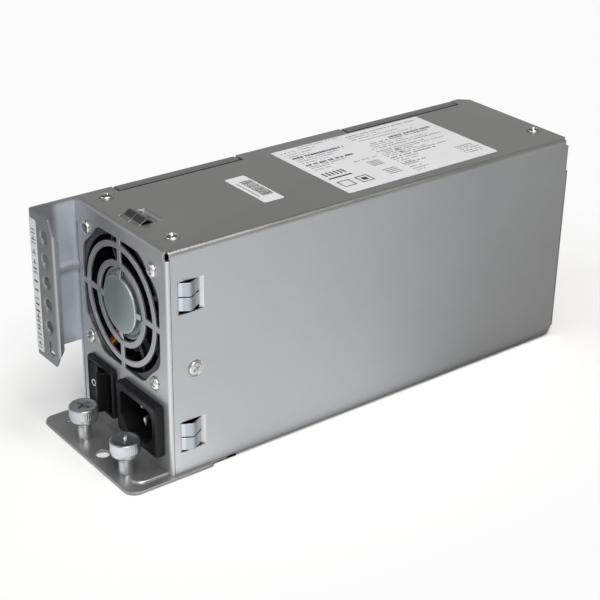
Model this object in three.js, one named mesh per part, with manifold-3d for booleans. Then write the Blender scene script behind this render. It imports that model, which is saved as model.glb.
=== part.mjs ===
// AC power supply module for a rack chassis: plated steel case, 60 mm fan behind a pressed guard,
// rocker switch and mains inlet on the front, latching ear and tongue with two captive thumbscrews.
// Millimetres, +Z up. The front face looks along -Y, +X is the side with the wrapped cover.
// Pieces are drawn with x from the left case side, y from the front face towards the rear and
// z from the base underside; addPart then centres them in x and y.
import * as THREE from 'three';
import { mergeVertices } from 'three/addons/utils/BufferGeometryUtils.js';
import loadManifold from 'manifold-3d';

const manifold = await loadManifold();
manifold.setup();

// ---------------------------------------------------------------- driving dimensions
const CASE_W = 70;
const CASE_D = 217;
const CASE_TOP = 100.5;
const SHEET = 1.0;
const FIT = 0.02; // gap between pieces that lie against each other
const UNDER_COVER = CASE_TOP - SHEET;
const BASE_T = 1.2;
const LIP = 1.5; // lip of the base beyond each side at the front
const TONGUE = 20.5; // tongue in front of the front face
const SEAM_Y = 1.7; // front edge of the wrapped cover
const EAR = 21; // ear in front of the front face
const EAR_BOTTOM = 34.8;
const EAR_FLANGE = 19.2;
const EAR_LIP = 2.8;

const FAN_X = 34.5;
const FAN_Z = 65.1;
const FAN_SIZE = 60;
const FAN_DEPTH = 25;
const FAN_PITCH = 50; // between screw centres, both ways
const FAN_Y = 1.0;
const FAN_BORE_R = 28.6;
const FAN_SCREW_HOLE_R = 2.1;

// bezels are width, height and how far they stand out; other sizes are width, height
const SWITCH_X = 18.6;
const SWITCH_Z = 20.3;
const SWITCH_BEZEL = [20.8, 23, 2.5];
const SWITCH_CUTOUT = [19.5, 21.5];
const SWITCH_PIVOT_Y = 5.2;
const SWITCH_TILT = 15; // degrees from level

const INLET_X = 49.75;
const INLET_Z = 20.05;
const INLET_BEZEL = [30.5, 23.5, 4];
const INLET_CUTOUT = [27.9, 20.8];
const INLET_CAVITY = [24.5, 17, 15]; // width, height, depth

const THUMBSCREW_X = [22.0, 55.2];
const THUMBSCREW_Y = -12.7;
const KNOB_TOP = 16.5;
const KNOB_BOTTOM = 7.7;
const KNOB_R = 6.25;

const COVER_HOLE_R = 1.7;
const TOP_SCREWS = { front_left: [8, 10.8], front_right: [57.5, 10.8], rear: [52.5, 211.5] }; // x, y
const SIDE_SCREW = [12.3, 47.8]; // y, z

const PCB_Z = 8;
const PCB_T = 1.6;
const PCB_TOP = PCB_Z + PCB_T;

// ---------------------------------------------------------------- materials
const material = (settings) => new THREE.MeshStandardMaterial(settings);
const materials = {
  steel: material({ color: 0x9a9b99, roughness: 0.38, metalness: 0.9 }),
  steelDark: material({ color: 0x7d7e7d, roughness: 0.42, metalness: 0.9 }),
  nickel: material({ color: 0xc8c8c6, roughness: 0.25, metalness: 1.0 }),
  screw: material({ color: 0xb9b8b2, roughness: 0.3, metalness: 1.0 }),
  plastic: material({ color: 0x141416, roughness: 0.5, metalness: 0.0 }),
  fan: material({ color: 0x17181a, roughness: 0.55, metalness: 0.0 }),
  hub: material({ color: 0x7f8a84, roughness: 0.55, metalness: 0.1 }),
  label: material({ color: 0xe6e5e0, roughness: 0.6, metalness: 0.0 }),
  pcb: material({ color: 0x1f5a36, roughness: 0.55, metalness: 0.0 }),
  sheet: material({ color: 0xd8d2b4, roughness: 0.6, metalness: 0.0 }),
  aluminium: material({ color: 0xb0b2b4, roughness: 0.4, metalness: 0.9 }),
  ferrite: material({ color: 0x3a3a3c, roughness: 0.7, metalness: 0.1 }),
  copper: material({ color: 0xa86a32, roughness: 0.45, metalness: 0.4 }),
  tape: material({ color: 0xd0b23a, roughness: 0.5, metalness: 0.0 }),
  capacitor: material({ color: 0x20252f, roughness: 0.4, metalness: 0.0 }),
  brass: material({ color: 0xc9a24e, roughness: 0.3, metalness: 1.0 }),
  red: material({ color: 0xb02a20, roughness: 0.5, metalness: 0.0 }),
  yellow: material({ color: 0xd0a02a, roughness: 0.5, metalness: 0.0 }),
  black: material({ color: 0x151515, roughness: 0.55, metalness: 0.0 }),
  ceramic: material({ color: 0xd9d6cc, roughness: 0.5, metalness: 0.0 }),
};

// ---------------------------------------------------------------- solids and meshes
// Welds a geometry by position alone and drops collapsed triangles, so that it is watertight.
const toSolid = (geometry) => {
  for (const key of Object.keys(geometry.attributes)) {
    if (key !== 'position') geometry.deleteAttribute(key);
  }
  const welded = mergeVertices(geometry, 1e-4);
  const index = welded.index.array;
  const triangles = [];
  for (let i = 0; i < index.length; i += 3) {
    const [a, b, c] = [index[i], index[i + 1], index[i + 2]];
    if (a !== b && b !== c && a !== c) triangles.push(a, b, c);
  }
  return new manifold.Manifold(new manifold.Mesh({
    numProp: 3,
    vertProperties: new Float32Array(welded.attributes.position.array),
    triVerts: new Uint32Array(triangles),
  }));
};

const toGeometry = (solid) => {
  const mesh = solid.getMesh();
  const geometry = new THREE.BufferGeometry();
  const positions = new Float32Array(mesh.vertProperties);
  geometry.setAttribute('position', new THREE.BufferAttribute(positions, 3));
  geometry.setIndex(new THREE.BufferAttribute(new Uint32Array(mesh.triVerts), 1));
  return geometry;
};

const root = new THREE.Group();
const addPart = (name, solid, partMaterial) => {
  const geometry = toGeometry(solid).translate(-CASE_W / 2, -CASE_D / 2, 0);
  const mesh = new THREE.Mesh(geometry, partMaterial);
  mesh.name = name;
  root.add(mesh);
};

// ---------------------------------------------------------------- outlines
const circle = (x, y, radius, segments = 20) => Array.from({ length: segments }, (_, i) => {
  const angle = (i / segments) * Math.PI * 2;
  return [x + radius * Math.cos(angle), y + radius * Math.sin(angle)];
});
const arc = (x, y, radius, start, sweep, segments) => {
  const points = [];
  for (let i = 0; i <= segments; i++) {
    const angle = start + (i / segments) * sweep;
    points.push([x + radius * Math.cos(angle), y + radius * Math.sin(angle)]);
  }
  return points;
};
const quarterArc = (x, y, radius, start, segments) =>
  arc(x, y, radius, start, Math.PI / 2, segments);
const rect = (x0, x1, y0, y1) => [[x0, y0], [x1, y0], [x1, y1], [x0, y1]];
const roundRect = (x0, x1, y0, y1, radius, segments) => [
  ...quarterArc(x0 + radius, y0 + radius, radius, Math.PI, segments),
  ...quarterArc(x1 - radius, y0 + radius, radius, 1.5 * Math.PI, segments),
  ...quarterArc(x1 - radius, y1 - radius, radius, 0, segments),
  ...quarterArc(x0 + radius, y1 - radius, radius, 0.5 * Math.PI, segments),
];
// limits of a rectangle given by its centre, as rect and roundRect take them
const span = (x, y, [width, height]) => [x - width / 2, x + width / 2, y - height / 2, y + height / 2];

// ---------------------------------------------------------------- basic solids
// box between two corners
const box = (x0, x1, y0, y1, z0, z1) => toSolid(
  new THREE.BoxGeometry(x1 - x0, y1 - y0, z1 - z0)
    .translate((x0 + x1) / 2, (y0 + y1) / 2, (z0 + z1) / 2),
);
const subtractAll = (solid, cutters) => cutters.reduce((rest, cutter) => rest.subtract(cutter), solid);

const toShape = (outline) => new THREE.Shape(outline.map(([x, y]) => new THREE.Vector2(x, y)));
const extrude = (outline, depth) => new THREE.ExtrudeGeometry(toShape(outline), {
  depth,
  bevelEnabled: false,
  steps: 1,
  curveSegments: 1,
});
// outline and holes as (x, y), thickness along Z
const slabZ = (outline, z0, z1, holes = []) => {
  const slab = extrude(outline, z1 - z0).translate(0, 0, z0);
  return subtractAll(toSolid(slab), holes.map((hole) => slabZ(hole, z0 - 1, z1 + 1)));
};
// outline and holes as (x, z), thickness along Y
const slabY = (outline, y0, y1, holes = []) => {
  const slab = extrude(outline, y1 - y0).rotateX(Math.PI / 2).translate(0, y1, 0);
  return subtractAll(toSolid(slab), holes.map((hole) => slabY(hole, y0 - 1, y1 + 1)));
};
// outline and holes as (y, z), thickness along X
const slabX = (outline, x0, x1, holes = []) => {
  const slab = extrude(outline, x1 - x0)
    .rotateX(Math.PI / 2)
    .rotateZ(Math.PI / 2)
    .translate(x0, 0, 0);
  return subtractAll(toSolid(slab), holes.map((hole) => slabX(hole, x0 - 1, x1 + 1)));
};
const cylinderZ = (x, y, radius, z0, z1, segments) => slabZ(circle(x, y, radius, segments), z0, z1);
const cylinderY = (x, z, radius, y0, y1, segments) => slabY(circle(x, z, radius, segments), y0, y1);
// block centred on (x, z) with size [width, height]
const blockY = (x, z, size, y0, y1) => slabY(rect(...span(x, z, size)), y0, y1);

// solids of revolution from (radius, position along the axis) pairs
const revolve = (profile, segments) =>
  new THREE.LatheGeometry(profile.map(([x, y]) => new THREE.Vector2(x, y)), segments);
const latheZ = (profile, segments, x, y) =>
  toSolid(revolve(profile, segments).rotateX(Math.PI / 2).translate(x, y, 0));
const latheY = (profile, segments, x, z) => toSolid(revolve(profile, segments).translate(x, 0, z));
const latheX = (profile, segments, y, z) =>
  toSolid(revolve(profile, segments).rotateZ(-Math.PI / 2).translate(0, y, z));

// ---------------------------------------------------------------- base plate and tongue
function basePlate() {
  const left = -LIP, right = CASE_W + LIP, front = -TONGUE;
  const cornerR = 5;
  const lipEnd = 19.2, lipTaper = 1.4;
  const bevelStart = 31.6; // from here back the lower edges are bevelled under the sides
  const rearTaper = 4.5, rearInset = 1.5;
  const outline = [
    ...quarterArc(left + cornerR, front + cornerR, cornerR, Math.PI, 5),
    ...quarterArc(right - cornerR, front + cornerR, cornerR, 1.5 * Math.PI, 5),
    [right, lipEnd], [CASE_W, lipEnd + lipTaper],
    [CASE_W, CASE_D - rearTaper], [CASE_W - rearInset, CASE_D],
    [rearInset, CASE_D], [0, CASE_D - rearTaper],
    [0, lipEnd + lipTaper], [left, lipEnd],
  ];
  const holes = [
    ...THUMBSCREW_X.map((x) => circle(x, THUMBSCREW_Y, 3.1, 18)),
    circle(38.2, -13.6, 3.0, 20),
    circle(8, -13, 0.9, 12),
  ];
  let base = slabZ(outline, 0, BASE_T, holes);

  const rightBevel = [[66.4, -0.2], [72, -0.2], [72, 1.05], [69.9, 1.05]]; // x, z
  const leftBevel = rightBevel.map(([x, z]) => [CASE_W - x, z]);
  for (const bevel of [rightBevel, leftBevel]) {
    base = base.subtract(slabY(bevel, bevelStart, CASE_D + 1));
  }

  // raised bead, running forward from the front panel and curling left (x, y)
  const beadOutline = [
    [67.4, 2], [67.4, -9.4], [67.0, -12.2], [65.5, -14.3], [63.1, -15.4], [60.5, -15.7],
    [60.5, -13.9], [62.7, -13.6], [64.1, -12.8], [65.2, -11.3], [65.5, -9], [65.5, 2],
  ];
  const bead = slabZ(beadOutline, BASE_T - 0.2, BASE_T + 0.7);
  const behindFrontFace = box(0, 80, 0, 5, 0, 5);
  return base.add(bead.subtract(behindFrontFace));
}
addPart('base_plate', basePlate(), materials.steel);

// ---------------------------------------------------------------- left side plate with latching ear
function leftSidePlate() {
  const strips = [[18.9, 79.3], [140, 206.8]]; // y limits of the strips folded over the top
  const earFront = -EAR + 0.2; // the ear plate runs into the flange
  // (y, z)
  const outline = [
    [0, BASE_T], [CASE_D - 2, BASE_T], [CASE_D, BASE_T + 2.5], [CASE_D, UNDER_COVER],
    ...[...strips].reverse().flatMap(([front, rear]) => [
      [rear, UNDER_COVER], [rear, CASE_TOP], [front, CASE_TOP], [front, UNDER_COVER],
    ]),
    [SEAM_Y, UNDER_COVER], [SEAM_Y, CASE_TOP],
    [earFront, CASE_TOP], [earFront, EAR_BOTTOM], [0, EAR_BOTTOM],
  ];
  let plate = slabX(outline, 0, SHEET);
  for (const [front, rear] of strips) {
    plate = plate.add(box(0.5, 5.6, front, rear, UNDER_COVER, CASE_TOP));
  }

  // ear flange across the front, chamfered (x, z)
  const flange = [
    [0, EAR_BOTTOM], [16.3, EAR_BOTTOM], [EAR_FLANGE, 40.5],
    [EAR_FLANGE, 93.8], [16.3, CASE_TOP], [0, CASE_TOP],
  ];
  const holes = [91.5, 81.5, 71.5, 61.5, 51.5].map((z) => circle(12.3, z, 2.75, 16));
  holes.push([[11, 39.2], [15.4, 39.2], [15.4, 41], [12.8, 41], [12.8, 44.8], [11, 44.8]]);

  // return lip: full depth in the middle, fading out towards both chamfers (y, z)
  const lip = [
    [earFront, 40.6], [-EAR + SHEET, 40.6], [-EAR + EAR_LIP, 43.6],
    [-EAR + EAR_LIP, 91], [-EAR + SHEET, 93.7], [earFront, 93.7],
  ];
  // stiffening rib along the ear plate (x, z)
  const rib = [[0.5, 66.8], [1, 66.8], [2.1, 68.2], [2.1, 71.6], [1, 72.8], [0.5, 72.8]];
  return plate
    .add(slabY(flange, -EAR, -EAR + SHEET, holes))
    .add(slabX(lip, EAR_FLANGE - SHEET, EAR_FLANGE))
    .add(slabY(rib, -EAR + 0.5, -0.4));
}
addPart('left_side_plate', leftSidePlate(), materials.steel);

// ---------------------------------------------------------------- front panel with the pressed fan guard
const QUADRANTS = [[1, 1], [-1, 1], [-1, -1], [1, -1]]; // signs of x and z from the fan centre
const FAN_SCREW_HOLES = QUADRANTS.map(([signX, signZ]) => circle(
  FAN_X + (signX * FAN_PITCH) / 2, FAN_Z + (signZ * FAN_PITCH) / 2, FAN_SCREW_HOLE_R, 12,
));

function guardWindows() {
  const spokeHalf = 1.25;
  const windowArc = (radius, segments) => {
    const start = Math.asin(spokeHalf / radius);
    return arc(0, 0, radius, start, Math.PI / 2 - 2 * start, segments);
  };
  // edge of the guard opening in one quadrant, drawn in round the fan screw (x, z from fan centre)
  const openingEdge = [
    [29.2, spokeHalf], [29.2, 12.8], [28.6, 15.6], [26.7, 18.4], [23.6, 20.9],
    [21.1, 23.2], [18.5, 26.2], [15.6, 28.2], [12.8, 28.8], [spokeHalf, 28.8],
  ];
  const windows = [
    [...openingEdge, ...windowArc(26.6, 7).reverse()],
    [...windowArc(24.1, 7), ...windowArc(18.6, 6).reverse()],
    [...windowArc(16.0, 5), ...windowArc(12.5, 4).reverse()],
  ];
  return windows.flatMap((outline) => QUADRANTS.map(
    ([signX, signZ]) => outline.map(([x, z]) => [FAN_X + signX * x, FAN_Z + signZ * z]),
  ));
}

function frontPanel() {
  const left = SHEET + FIT, right = CASE_W;
  const cornerDrop = 3.4, cornerInset = 2.4;
  const foldStart = 0.5, foldEnd = SEAM_Y - 0.15;
  const flangeEnd = 16;
  // (x, z)
  const outline = [
    [left, BASE_T], [right, BASE_T], [right, CASE_TOP - cornerDrop],
    [right - cornerInset, UNDER_COVER], [right - cornerInset, CASE_TOP], [left, CASE_TOP],
  ];
  const holes = [
    ...guardWindows(),
    ...FAN_SCREW_HOLES,
    rect(...span(SWITCH_X, SWITCH_Z, SWITCH_CUTOUT)),
    rect(...span(INLET_X, INLET_Z, INLET_CUTOUT)),
  ];

  // flanges inside the cover, open behind its bridges
  let sideFlange = slabX(
    rect(foldStart, flangeEnd, BASE_T, CASE_TOP - 3.6),
    right - 2 * SHEET - FIT, right - SHEET - FIT,
    [circle(...SIDE_SCREW, COVER_HOLE_R, 12)],
  );
  for (const [low, high] of [[10.2, 25.7], [72.2, 87.7]]) {
    sideFlange = sideFlange.subtract(box(66, 70, 4.2, 18, low, high));
  }
  const topFlange = slabZ(
    rect(left + 1.2, right - 3.6, foldStart, flangeEnd),
    UNDER_COVER - SHEET - FIT, UNDER_COVER - FIT,
    [TOP_SCREWS.front_left, TOP_SCREWS.front_right].map((at) => circle(...at, COVER_HOLE_R, 12)),
  ).subtract(box(26.6, 42.4, 4.2, 18, 95, 101));

  const centreDisc = cylinderY(FAN_X, FAN_Z, 12.4, -0.8, 0.5, 28); // pressed forward
  return slabY(outline, 0, SHEET, holes)
    .add(centreDisc)
    // right and top edges folded back as far as the cover
    .add(box(right - SHEET, right, foldStart, foldEnd, BASE_T, CASE_TOP - cornerDrop))
    .add(box(left, right - cornerInset, foldStart, foldEnd, UNDER_COVER, CASE_TOP))
    .add(sideFlange)
    .add(topFlange)
    // left edge folded back inside the side plate
    .add(box(left, left + SHEET, foldStart, 9, BASE_T, 97));
}
addPart('front_panel', frontPanel(), materials.steel);

// ---------------------------------------------------------------- wrapped cover: top and right side in one sheet
// A bridge is an opening near the front edge with a step at its front and rear and two strips
// that rise out, then fall inwards. Profiles are (y, offset outwards from the sheet's face).
const BRIDGE_Y = [4.6, 17.1];
const BRIDGE_SHEET = 0.8;
const BRIDGE_STRIP = [
  [5.1, -0.6], [6.1, -0.2], [7.6, 0.75], [9.1, 1.7], [10.3, 1.65],
  [12.0, 0.6], [13.6, -0.5], [15.2, -1.25], [15.75, -1.2],
];
const BRIDGE_FRONT_STEP = [[4.3, 0], [4.7, 0], [5.3, -0.6], [5.6, -0.6]];
const BRIDGE_REAR_STEP = [[15.35, -1.2], [15.8, -1.15], [16.9, 0], [17.4, 0]];
const SLIT_HALF = 0.25; // half the gap between the two strips
// low and high bound the opening; the gaps separate the strips from its ends
const TOP_BRIDGE = { low: 27.6, high: 41.4, lowGap: 0.45, highGap: 0.45, slit: 34.5 }; // in x
const SIDE_BRIDGES = [ // in z
  { low: 11.1, high: 25.1, lowGap: 0.7, highGap: 1.1, slit: 17.8 },
  { low: 73.2, high: 87.2, lowGap: 1.5, highGap: 0.5, slit: 80.6 },
];

function bridgePieces({ low, high, lowGap, highGap, slit }) {
  const thicken = (profile) => [
    ...profile,
    ...profile.map(([y, offset]) => [y, offset - BRIDGE_SHEET]).reverse(),
  ];
  return [
    [thicken(BRIDGE_STRIP), low + lowGap, slit - SLIT_HALF],
    [thicken(BRIDGE_STRIP), slit + SLIT_HALF, high - highGap],
    [thicken(BRIDGE_FRONT_STEP), low, high],
    [thicken(BRIDGE_REAR_STEP), low, high],
  ];
}

function wrapCover() {
  const bendR = 2.2;
  const bend = [CASE_W - bendR, CASE_TOP - bendR];
  // (x, z)
  const section = [
    [0, UNDER_COVER],
    ...quarterArc(...bend, bendR - SHEET, 0, 5).reverse(),
    [CASE_W - SHEET, BASE_T], [CASE_W, BASE_T],
    ...quarterArc(...bend, bendR, 0, 5),
    [0, CASE_TOP],
  ];
  const throughTop = [98, 102]; // z range of cutters through the top
  const throughSide = [68, 71]; // x range of cutters through the side
  const rearEnd = CASE_D + 1;
  let cover = subtractAll(slabY(section, SEAM_Y, CASE_D), [
    // notches for the left plate's strips
    box(-1, 6.3, 17.9, 80.7, ...throughTop),
    box(-1, 6.3, 138.8, 207.8, ...throughTop),
    // cut rear corners: top left, lower right, top right
    slabZ([[-1, CASE_D - 5.5], [4.8, rearEnd], [-1, rearEnd]], ...throughTop),
    slabX([[CASE_D - 3.1, 0], [rearEnd, 0], [rearEnd, 4.9]], ...throughSide),
    box(67.4, 71, CASE_D - 1.6, rearEnd, 97.2, 102),
    // screw holes
    ...Object.values(TOP_SCREWS).map((at) => cylinderZ(...at, COVER_HOLE_R, ...throughTop, 12)),
    slabX(circle(...SIDE_SCREW, COVER_HOLE_R, 12), ...throughSide),
  ]);

  for (const bridge of SIDE_BRIDGES) {
    cover = cover.subtract(box(...throughSide, ...BRIDGE_Y, bridge.low, bridge.high));
    for (const [outline, from, to] of bridgePieces(bridge)) {
      cover = cover.add(slabZ(outline.map(([y, offset]) => [CASE_W + offset, y]), from, to));
    }
  }
  cover = cover.subtract(box(TOP_BRIDGE.low, TOP_BRIDGE.high, ...BRIDGE_Y, ...throughTop));
  for (const [outline, from, to] of bridgePieces(TOP_BRIDGE)) {
    cover = cover.add(slabX(outline.map(([y, offset]) => [y, CASE_TOP + offset]), from, to));
  }
  return cover;
}
addPart('wrap_cover', wrapCover(), materials.steel);

// ---------------------------------------------------------------- rear panel
function rearPanel() {
  const stepZ = 84.8; // above this the panel is set in
  const stepBottom = stepZ - SHEET;
  const inset = 0.3;
  const upperX = [SHEET + inset, CASE_W - SHEET - inset];
  const upperFront = CASE_D - SHEET - inset;
  const slotRow = (z) => [0, 1, 2].map((column) => {
    const x = 7 + column * 19.2;
    return roundRect(x, x + 16.2, z, z + 3, 1.2, 1);
  });
  const holes = [roundRect(12.3, 57.7, 9.3, 28.9, 0.3, 1)]; // output connector
  for (let row = 0; row < 6; row++) holes.push(...slotRow(41 + row * 6.6));
  const upper = rect(...upperX, stepBottom, UNDER_COVER - FIT);
  const topFlange = slabZ(
    rect(SHEET + 5, CASE_W - 4, CASE_D - 12, CASE_D - 0.8),
    UNDER_COVER - SHEET - FIT, UNDER_COVER - FIT,
    [circle(...TOP_SCREWS.rear, COVER_HOLE_R, 12)],
  );
  return slabY(rect(0.8, CASE_W - 0.1, 4.3, stepZ), CASE_D, CASE_D + SHEET, holes)
    .add(slabY(upper, upperFront, CASE_D - inset, slotRow(88.5)))
    .add(box(...upperX, upperFront, CASE_D + 0.5, stepBottom, stepZ))
    .add(topFlange);
}
addPart('rear_panel', rearPanel(), materials.steelDark);

// ---------------------------------------------------------------- captive thumbscrews
// cutter for a cross recess; slab is the slab function of the screw's axis
const crossCutter = (slab, x, y, [length, width], from, to) =>
  slab(rect(...span(x, y, [length, width])), from, to)
    .add(slab(rect(...span(x, y, [width, length])), from, to));

// profiles as (radius, z)
const FERRULE_PROFILE = [
  [2.55, 0], [2.95, 0], [2.95, BASE_T], [3.15, BASE_T], [3.15, 8.2], [2.9, 8.5],
  [2.2, 8.5], [2.2, 7.3], [2.55, 7.3], [2.55, 0],
];
const RETAINING_RING_PROFILE = [[1.65, 6.3], [2.4, 6.3], [2.4, 7.0], [1.65, 7.0], [1.65, 6.3]];
// stud with its neck, then the hollow knob
const THUMBSCREW_PROFILE = [
  [0, 0.6], [1.5, 0.6], [1.85, 1.0], [1.85, 6.1], [1.45, 6.15], [1.45, 7.15], [1.85, 7.2],
  [1.85, 13.8], [3.5, 13.8], [3.5, KNOB_BOTTOM], [4.2, KNOB_BOTTOM], [4.6, 8.0],
  [KNOB_R - 0.2, 9.9], [KNOB_R, 10.3], [KNOB_R, KNOB_TOP - 0.5],
  [KNOB_R - 0.5, KNOB_TOP], [0, KNOB_TOP],
];
THUMBSCREW_X.forEach((x, i) => {
  const side = ['left', 'right'][i];
  const at = [x, THUMBSCREW_Y];
  // sleeve pressed in the tongue
  addPart(`thumbscrew_ferrule_${side}`, latheZ(FERRULE_PROFILE, 18, ...at), materials.nickel);
  // clip on the screw's neck that keeps it captive
  addPart(`retaining_ring_${side}`, latheZ(RETAINING_RING_PROFILE, 18, ...at), materials.screw);
  const recess = crossCutter(slabZ, ...at, [5.2, 1.1], KNOB_TOP - 1.5, KNOB_TOP + 1);
  const thumbscrew = latheZ(THUMBSCREW_PROFILE, 20, ...at).subtract(recess);
  addPart(`thumbscrew_${side}`, thumbscrew, materials.nickel);
});

// ---------------------------------------------------------------- screws
const RECESS = [3.2, 0.7]; // length, width
const RECESS_DEPTH = 0.9;

const FAN_SCREW_CROWN = -1.7;
// radius, y
const FAN_SCREW_PROFILE = [
  [0, FAN_SCREW_CROWN], [1.9, -1.6], [2.7, -1.1], [3.0, -0.4], [3.0, 0], [1.5, 0], [1.5, 8], [0, 8.6],
];
for (const [row, signZ] of [['upper', 1], ['lower', -1]]) {
  for (const [side, signX] of [['left', -1], ['right', 1]]) {
    const at = [FAN_X + (signX * FAN_PITCH) / 2, FAN_Z + (signZ * FAN_PITCH) / 2];
    const recess = crossCutter(
      slabY, ...at, RECESS, FAN_SCREW_CROWN - 1, FAN_SCREW_CROWN + RECESS_DEPTH,
    );
    const screw = latheY(FAN_SCREW_PROFILE, 12, ...at).subtract(recess);
    addPart(`fan_screw_${row}_${side}`, screw, materials.screw);
  }
}

// seat is the cover's face; shoulder, rim and crown are heights of the head above it
function coverScrew(lathe, slab, at, seat, { shoulder, rim, crown }) {
  const profile = [
    [0, seat - 5], [1.3, seat - 4.6], [1.3, seat], [3.0, seat], [3.0, seat + 0.35],
    [2.5, seat + shoulder], [1.6, seat + rim], [0, seat + crown],
  ];
  const top = seat + crown;
  return lathe(profile, 12, ...at)
    .subtract(crossCutter(slab, ...at, RECESS, top - RECESS_DEPTH, top + 1));
}
for (const [place, at] of Object.entries(TOP_SCREWS)) {
  const head = { shoulder: 0.9, rim: 1.15, crown: 1.2 };
  addPart(`top_screw_${place}`, coverScrew(latheZ, slabZ, at, CASE_TOP, head), materials.screw);
}
const sideHead = { shoulder: 0.8, rim: 1.0, crown: 1.05 };
addPart('side_screw', coverScrew(latheX, slabX, SIDE_SCREW, CASE_W, sideHead), materials.screw);

// ---------------------------------------------------------------- fan
function fanFrame() {
  const rear = FAN_Y + FAN_DEPTH;
  const flangeT = 5;
  const bore = circle(FAN_X, FAN_Z, FAN_BORE_R, 36);
  const plan = roundRect(...span(FAN_X, FAN_Z, [FAN_SIZE, FAN_SIZE]), 4, 3);
  let frame = slabY(plan, FAN_Y, rear, [bore, ...FAN_SCREW_HOLES]);

  // corners left open between the two mounting flanges
  const pocketInner = FAN_PITCH / 2 - 3.6, pocketOuter = FAN_SIZE / 2 + 1;
  const pocketMiddle = (pocketInner + pocketOuter) / 2;
  const pocketSize = pocketOuter - pocketInner;
  for (const [signX, signZ] of QUADRANTS) {
    frame = frame.subtract(blockY(
      FAN_X + signX * pocketMiddle, FAN_Z + signZ * pocketMiddle,
      [pocketSize, pocketSize], FAN_Y + flangeT, rear - flangeT,
    ));
  }

  // motor base, bearing tube and four struts at the front
  const bearingTube = [[1.7, 4.0], [3.5, 4.0], [3.5, 19], [1.7, 19], [1.7, 4.0]]; // radius, y
  frame = frame.add(cylinderY(FAN_X, FAN_Z, 16.0, 1.95, 5.2, 28));
  frame = frame.add(latheY(bearingTube, 12, FAN_X, FAN_Z));
  for (const degrees of [20, 110, 200, 290]) {
    const strut = new THREE.BoxGeometry(15, 2.2, 2.6)
      .translate(22, 4.4, 0)
      .rotateY(-THREE.MathUtils.degToRad(degrees))
      .translate(FAN_X, 0, FAN_Z);
    frame = frame.add(toSolid(strut));
  }
  const leadChannel = box(17.2, 22.2, 2.4, 6.6, 34, 44);
  return frame.subtract(leadChannel);
}

// twisted blade: a unit box mapped to radius, axis and thickness round the fan's axis
function fanBlade(startAngle) {
  const rootR = 14.0, length = 13.4, thickness = 1.1;
  const middleY = 15.6, depth = 15;
  const twist = 13.5, camber = 5; // arc lengths swept along the axis
  const lean = 0.012; // radians per mm of radius
  const blade = new THREE.BoxGeometry(1, 1, 1, 2, 3, 1);
  const position = blade.attributes.position;
  for (let i = 0; i < position.count; i++) {
    const radius = rootR + (position.getX(i) + 0.5) * length;
    const along = position.getY(i); // -0.5 .. 0.5 along the axis
    const across = position.getZ(i) * thickness;
    const sweep = (along * twist + (0.25 - along * along) * camber) / radius
      + (radius - rootR) * lean;
    const angle = startAngle + sweep + across / radius;
    position.setXYZ(
      i,
      FAN_X + radius * Math.cos(angle),
      middleY + along * depth,
      FAN_Z + radius * Math.sin(angle),
    );
  }
  return toSolid(blade);
}

function fanImpeller() {
  const blades = 7;
  // hub cup and shaft (radius, y)
  const hub = [
    [0, 6.0], [1.5, 6.0], [1.5, 23], [12.9, 23], [12.9, 6.6],
    [14.6, 6.6], [14.6, 24.2], [13.6, 25.2], [0, 25.2],
  ];
  let impeller = latheY(hub, 24, FAN_X, FAN_Z);
  for (let i = 0; i < blades; i++) impeller = impeller.add(fanBlade((i / blades) * Math.PI * 2));
  return impeller;
}

// lead from the motor base through the frame's channel, then back and down to the board
function fanLead(number) {
  const offset = (number - 1) * 1.6;
  const startR = 16.8;
  const angle = THREE.MathUtils.degToRad(240 + 6.4 * number);
  const x = 19.7 + offset;
  const path = [
    [FAN_X + startR * Math.cos(angle), 4.2, FAN_Z + startR * Math.sin(angle)],
    [FAN_X - 11 + 0.58 * offset, 4.2, FAN_Z - 21 - 0.88 * offset],
    [x, 4.2, FAN_Z - 25.2 - 0.2 * offset],
    [x, 4.5, 36.4], [x, 6.8, 33.6], [x, 14, 33.4], [x, 27, 33.4],
    [x, 33, 31], [x, 36, 22], [x, 36.6, 11.2],
  ].map((point) => new THREE.Vector3(...point));
  return toSolid(new THREE.ExtrudeGeometry(toShape(circle(0, 0, 0.62, 6)), {
    steps: 20,
    bevelEnabled: false,
    extrudePath: new THREE.CatmullRomCurve3(path, false, 'centripetal'),
  }));
}

// radius, y
const STATOR_PROFILE = [
  [3.6, 8], [11.4, 8], [11.8, 9], [11.8, 19], [11.4, 20], [3.6, 20], [3.6, 8],
];
addPart('fan_frame', fanFrame(), materials.fan);
addPart('fan_hub_label', cylinderY(FAN_X, FAN_Z, 15.35, 1.8, 1.95, 28), materials.hub);
addPart('fan_stator', latheY(STATOR_PROFILE, 14, FAN_X, FAN_Z), materials.copper);
addPart('fan_impeller', fanImpeller(), materials.fan);
['red', 'yellow', 'black'].forEach((colour, i) => {
  addPart(`fan_lead_${colour}`, fanLead(i), materials[colour]);
});

// ---------------------------------------------------------------- rocker switch
function switchBody() {
  const at = [SWITCH_X, SWITCH_Z];
  const bezel = roundRect(...span(...at, SWITCH_BEZEL), 1.2, 3);
  let body = slabY(bezel, -SWITCH_BEZEL[2], -FIT)
    .add(blockY(...at, [19.2, 21.2], -0.5, 17))
    .subtract(blockY(...at, [18.9, 19], -10, 9.5));
  // two blades leave the back
  for (const side of [1, -1]) {
    body = body.add(blockY(SWITCH_X, SWITCH_Z + side * 5, [0.8, 5], 16, 25));
  }
  return body;
}

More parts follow.
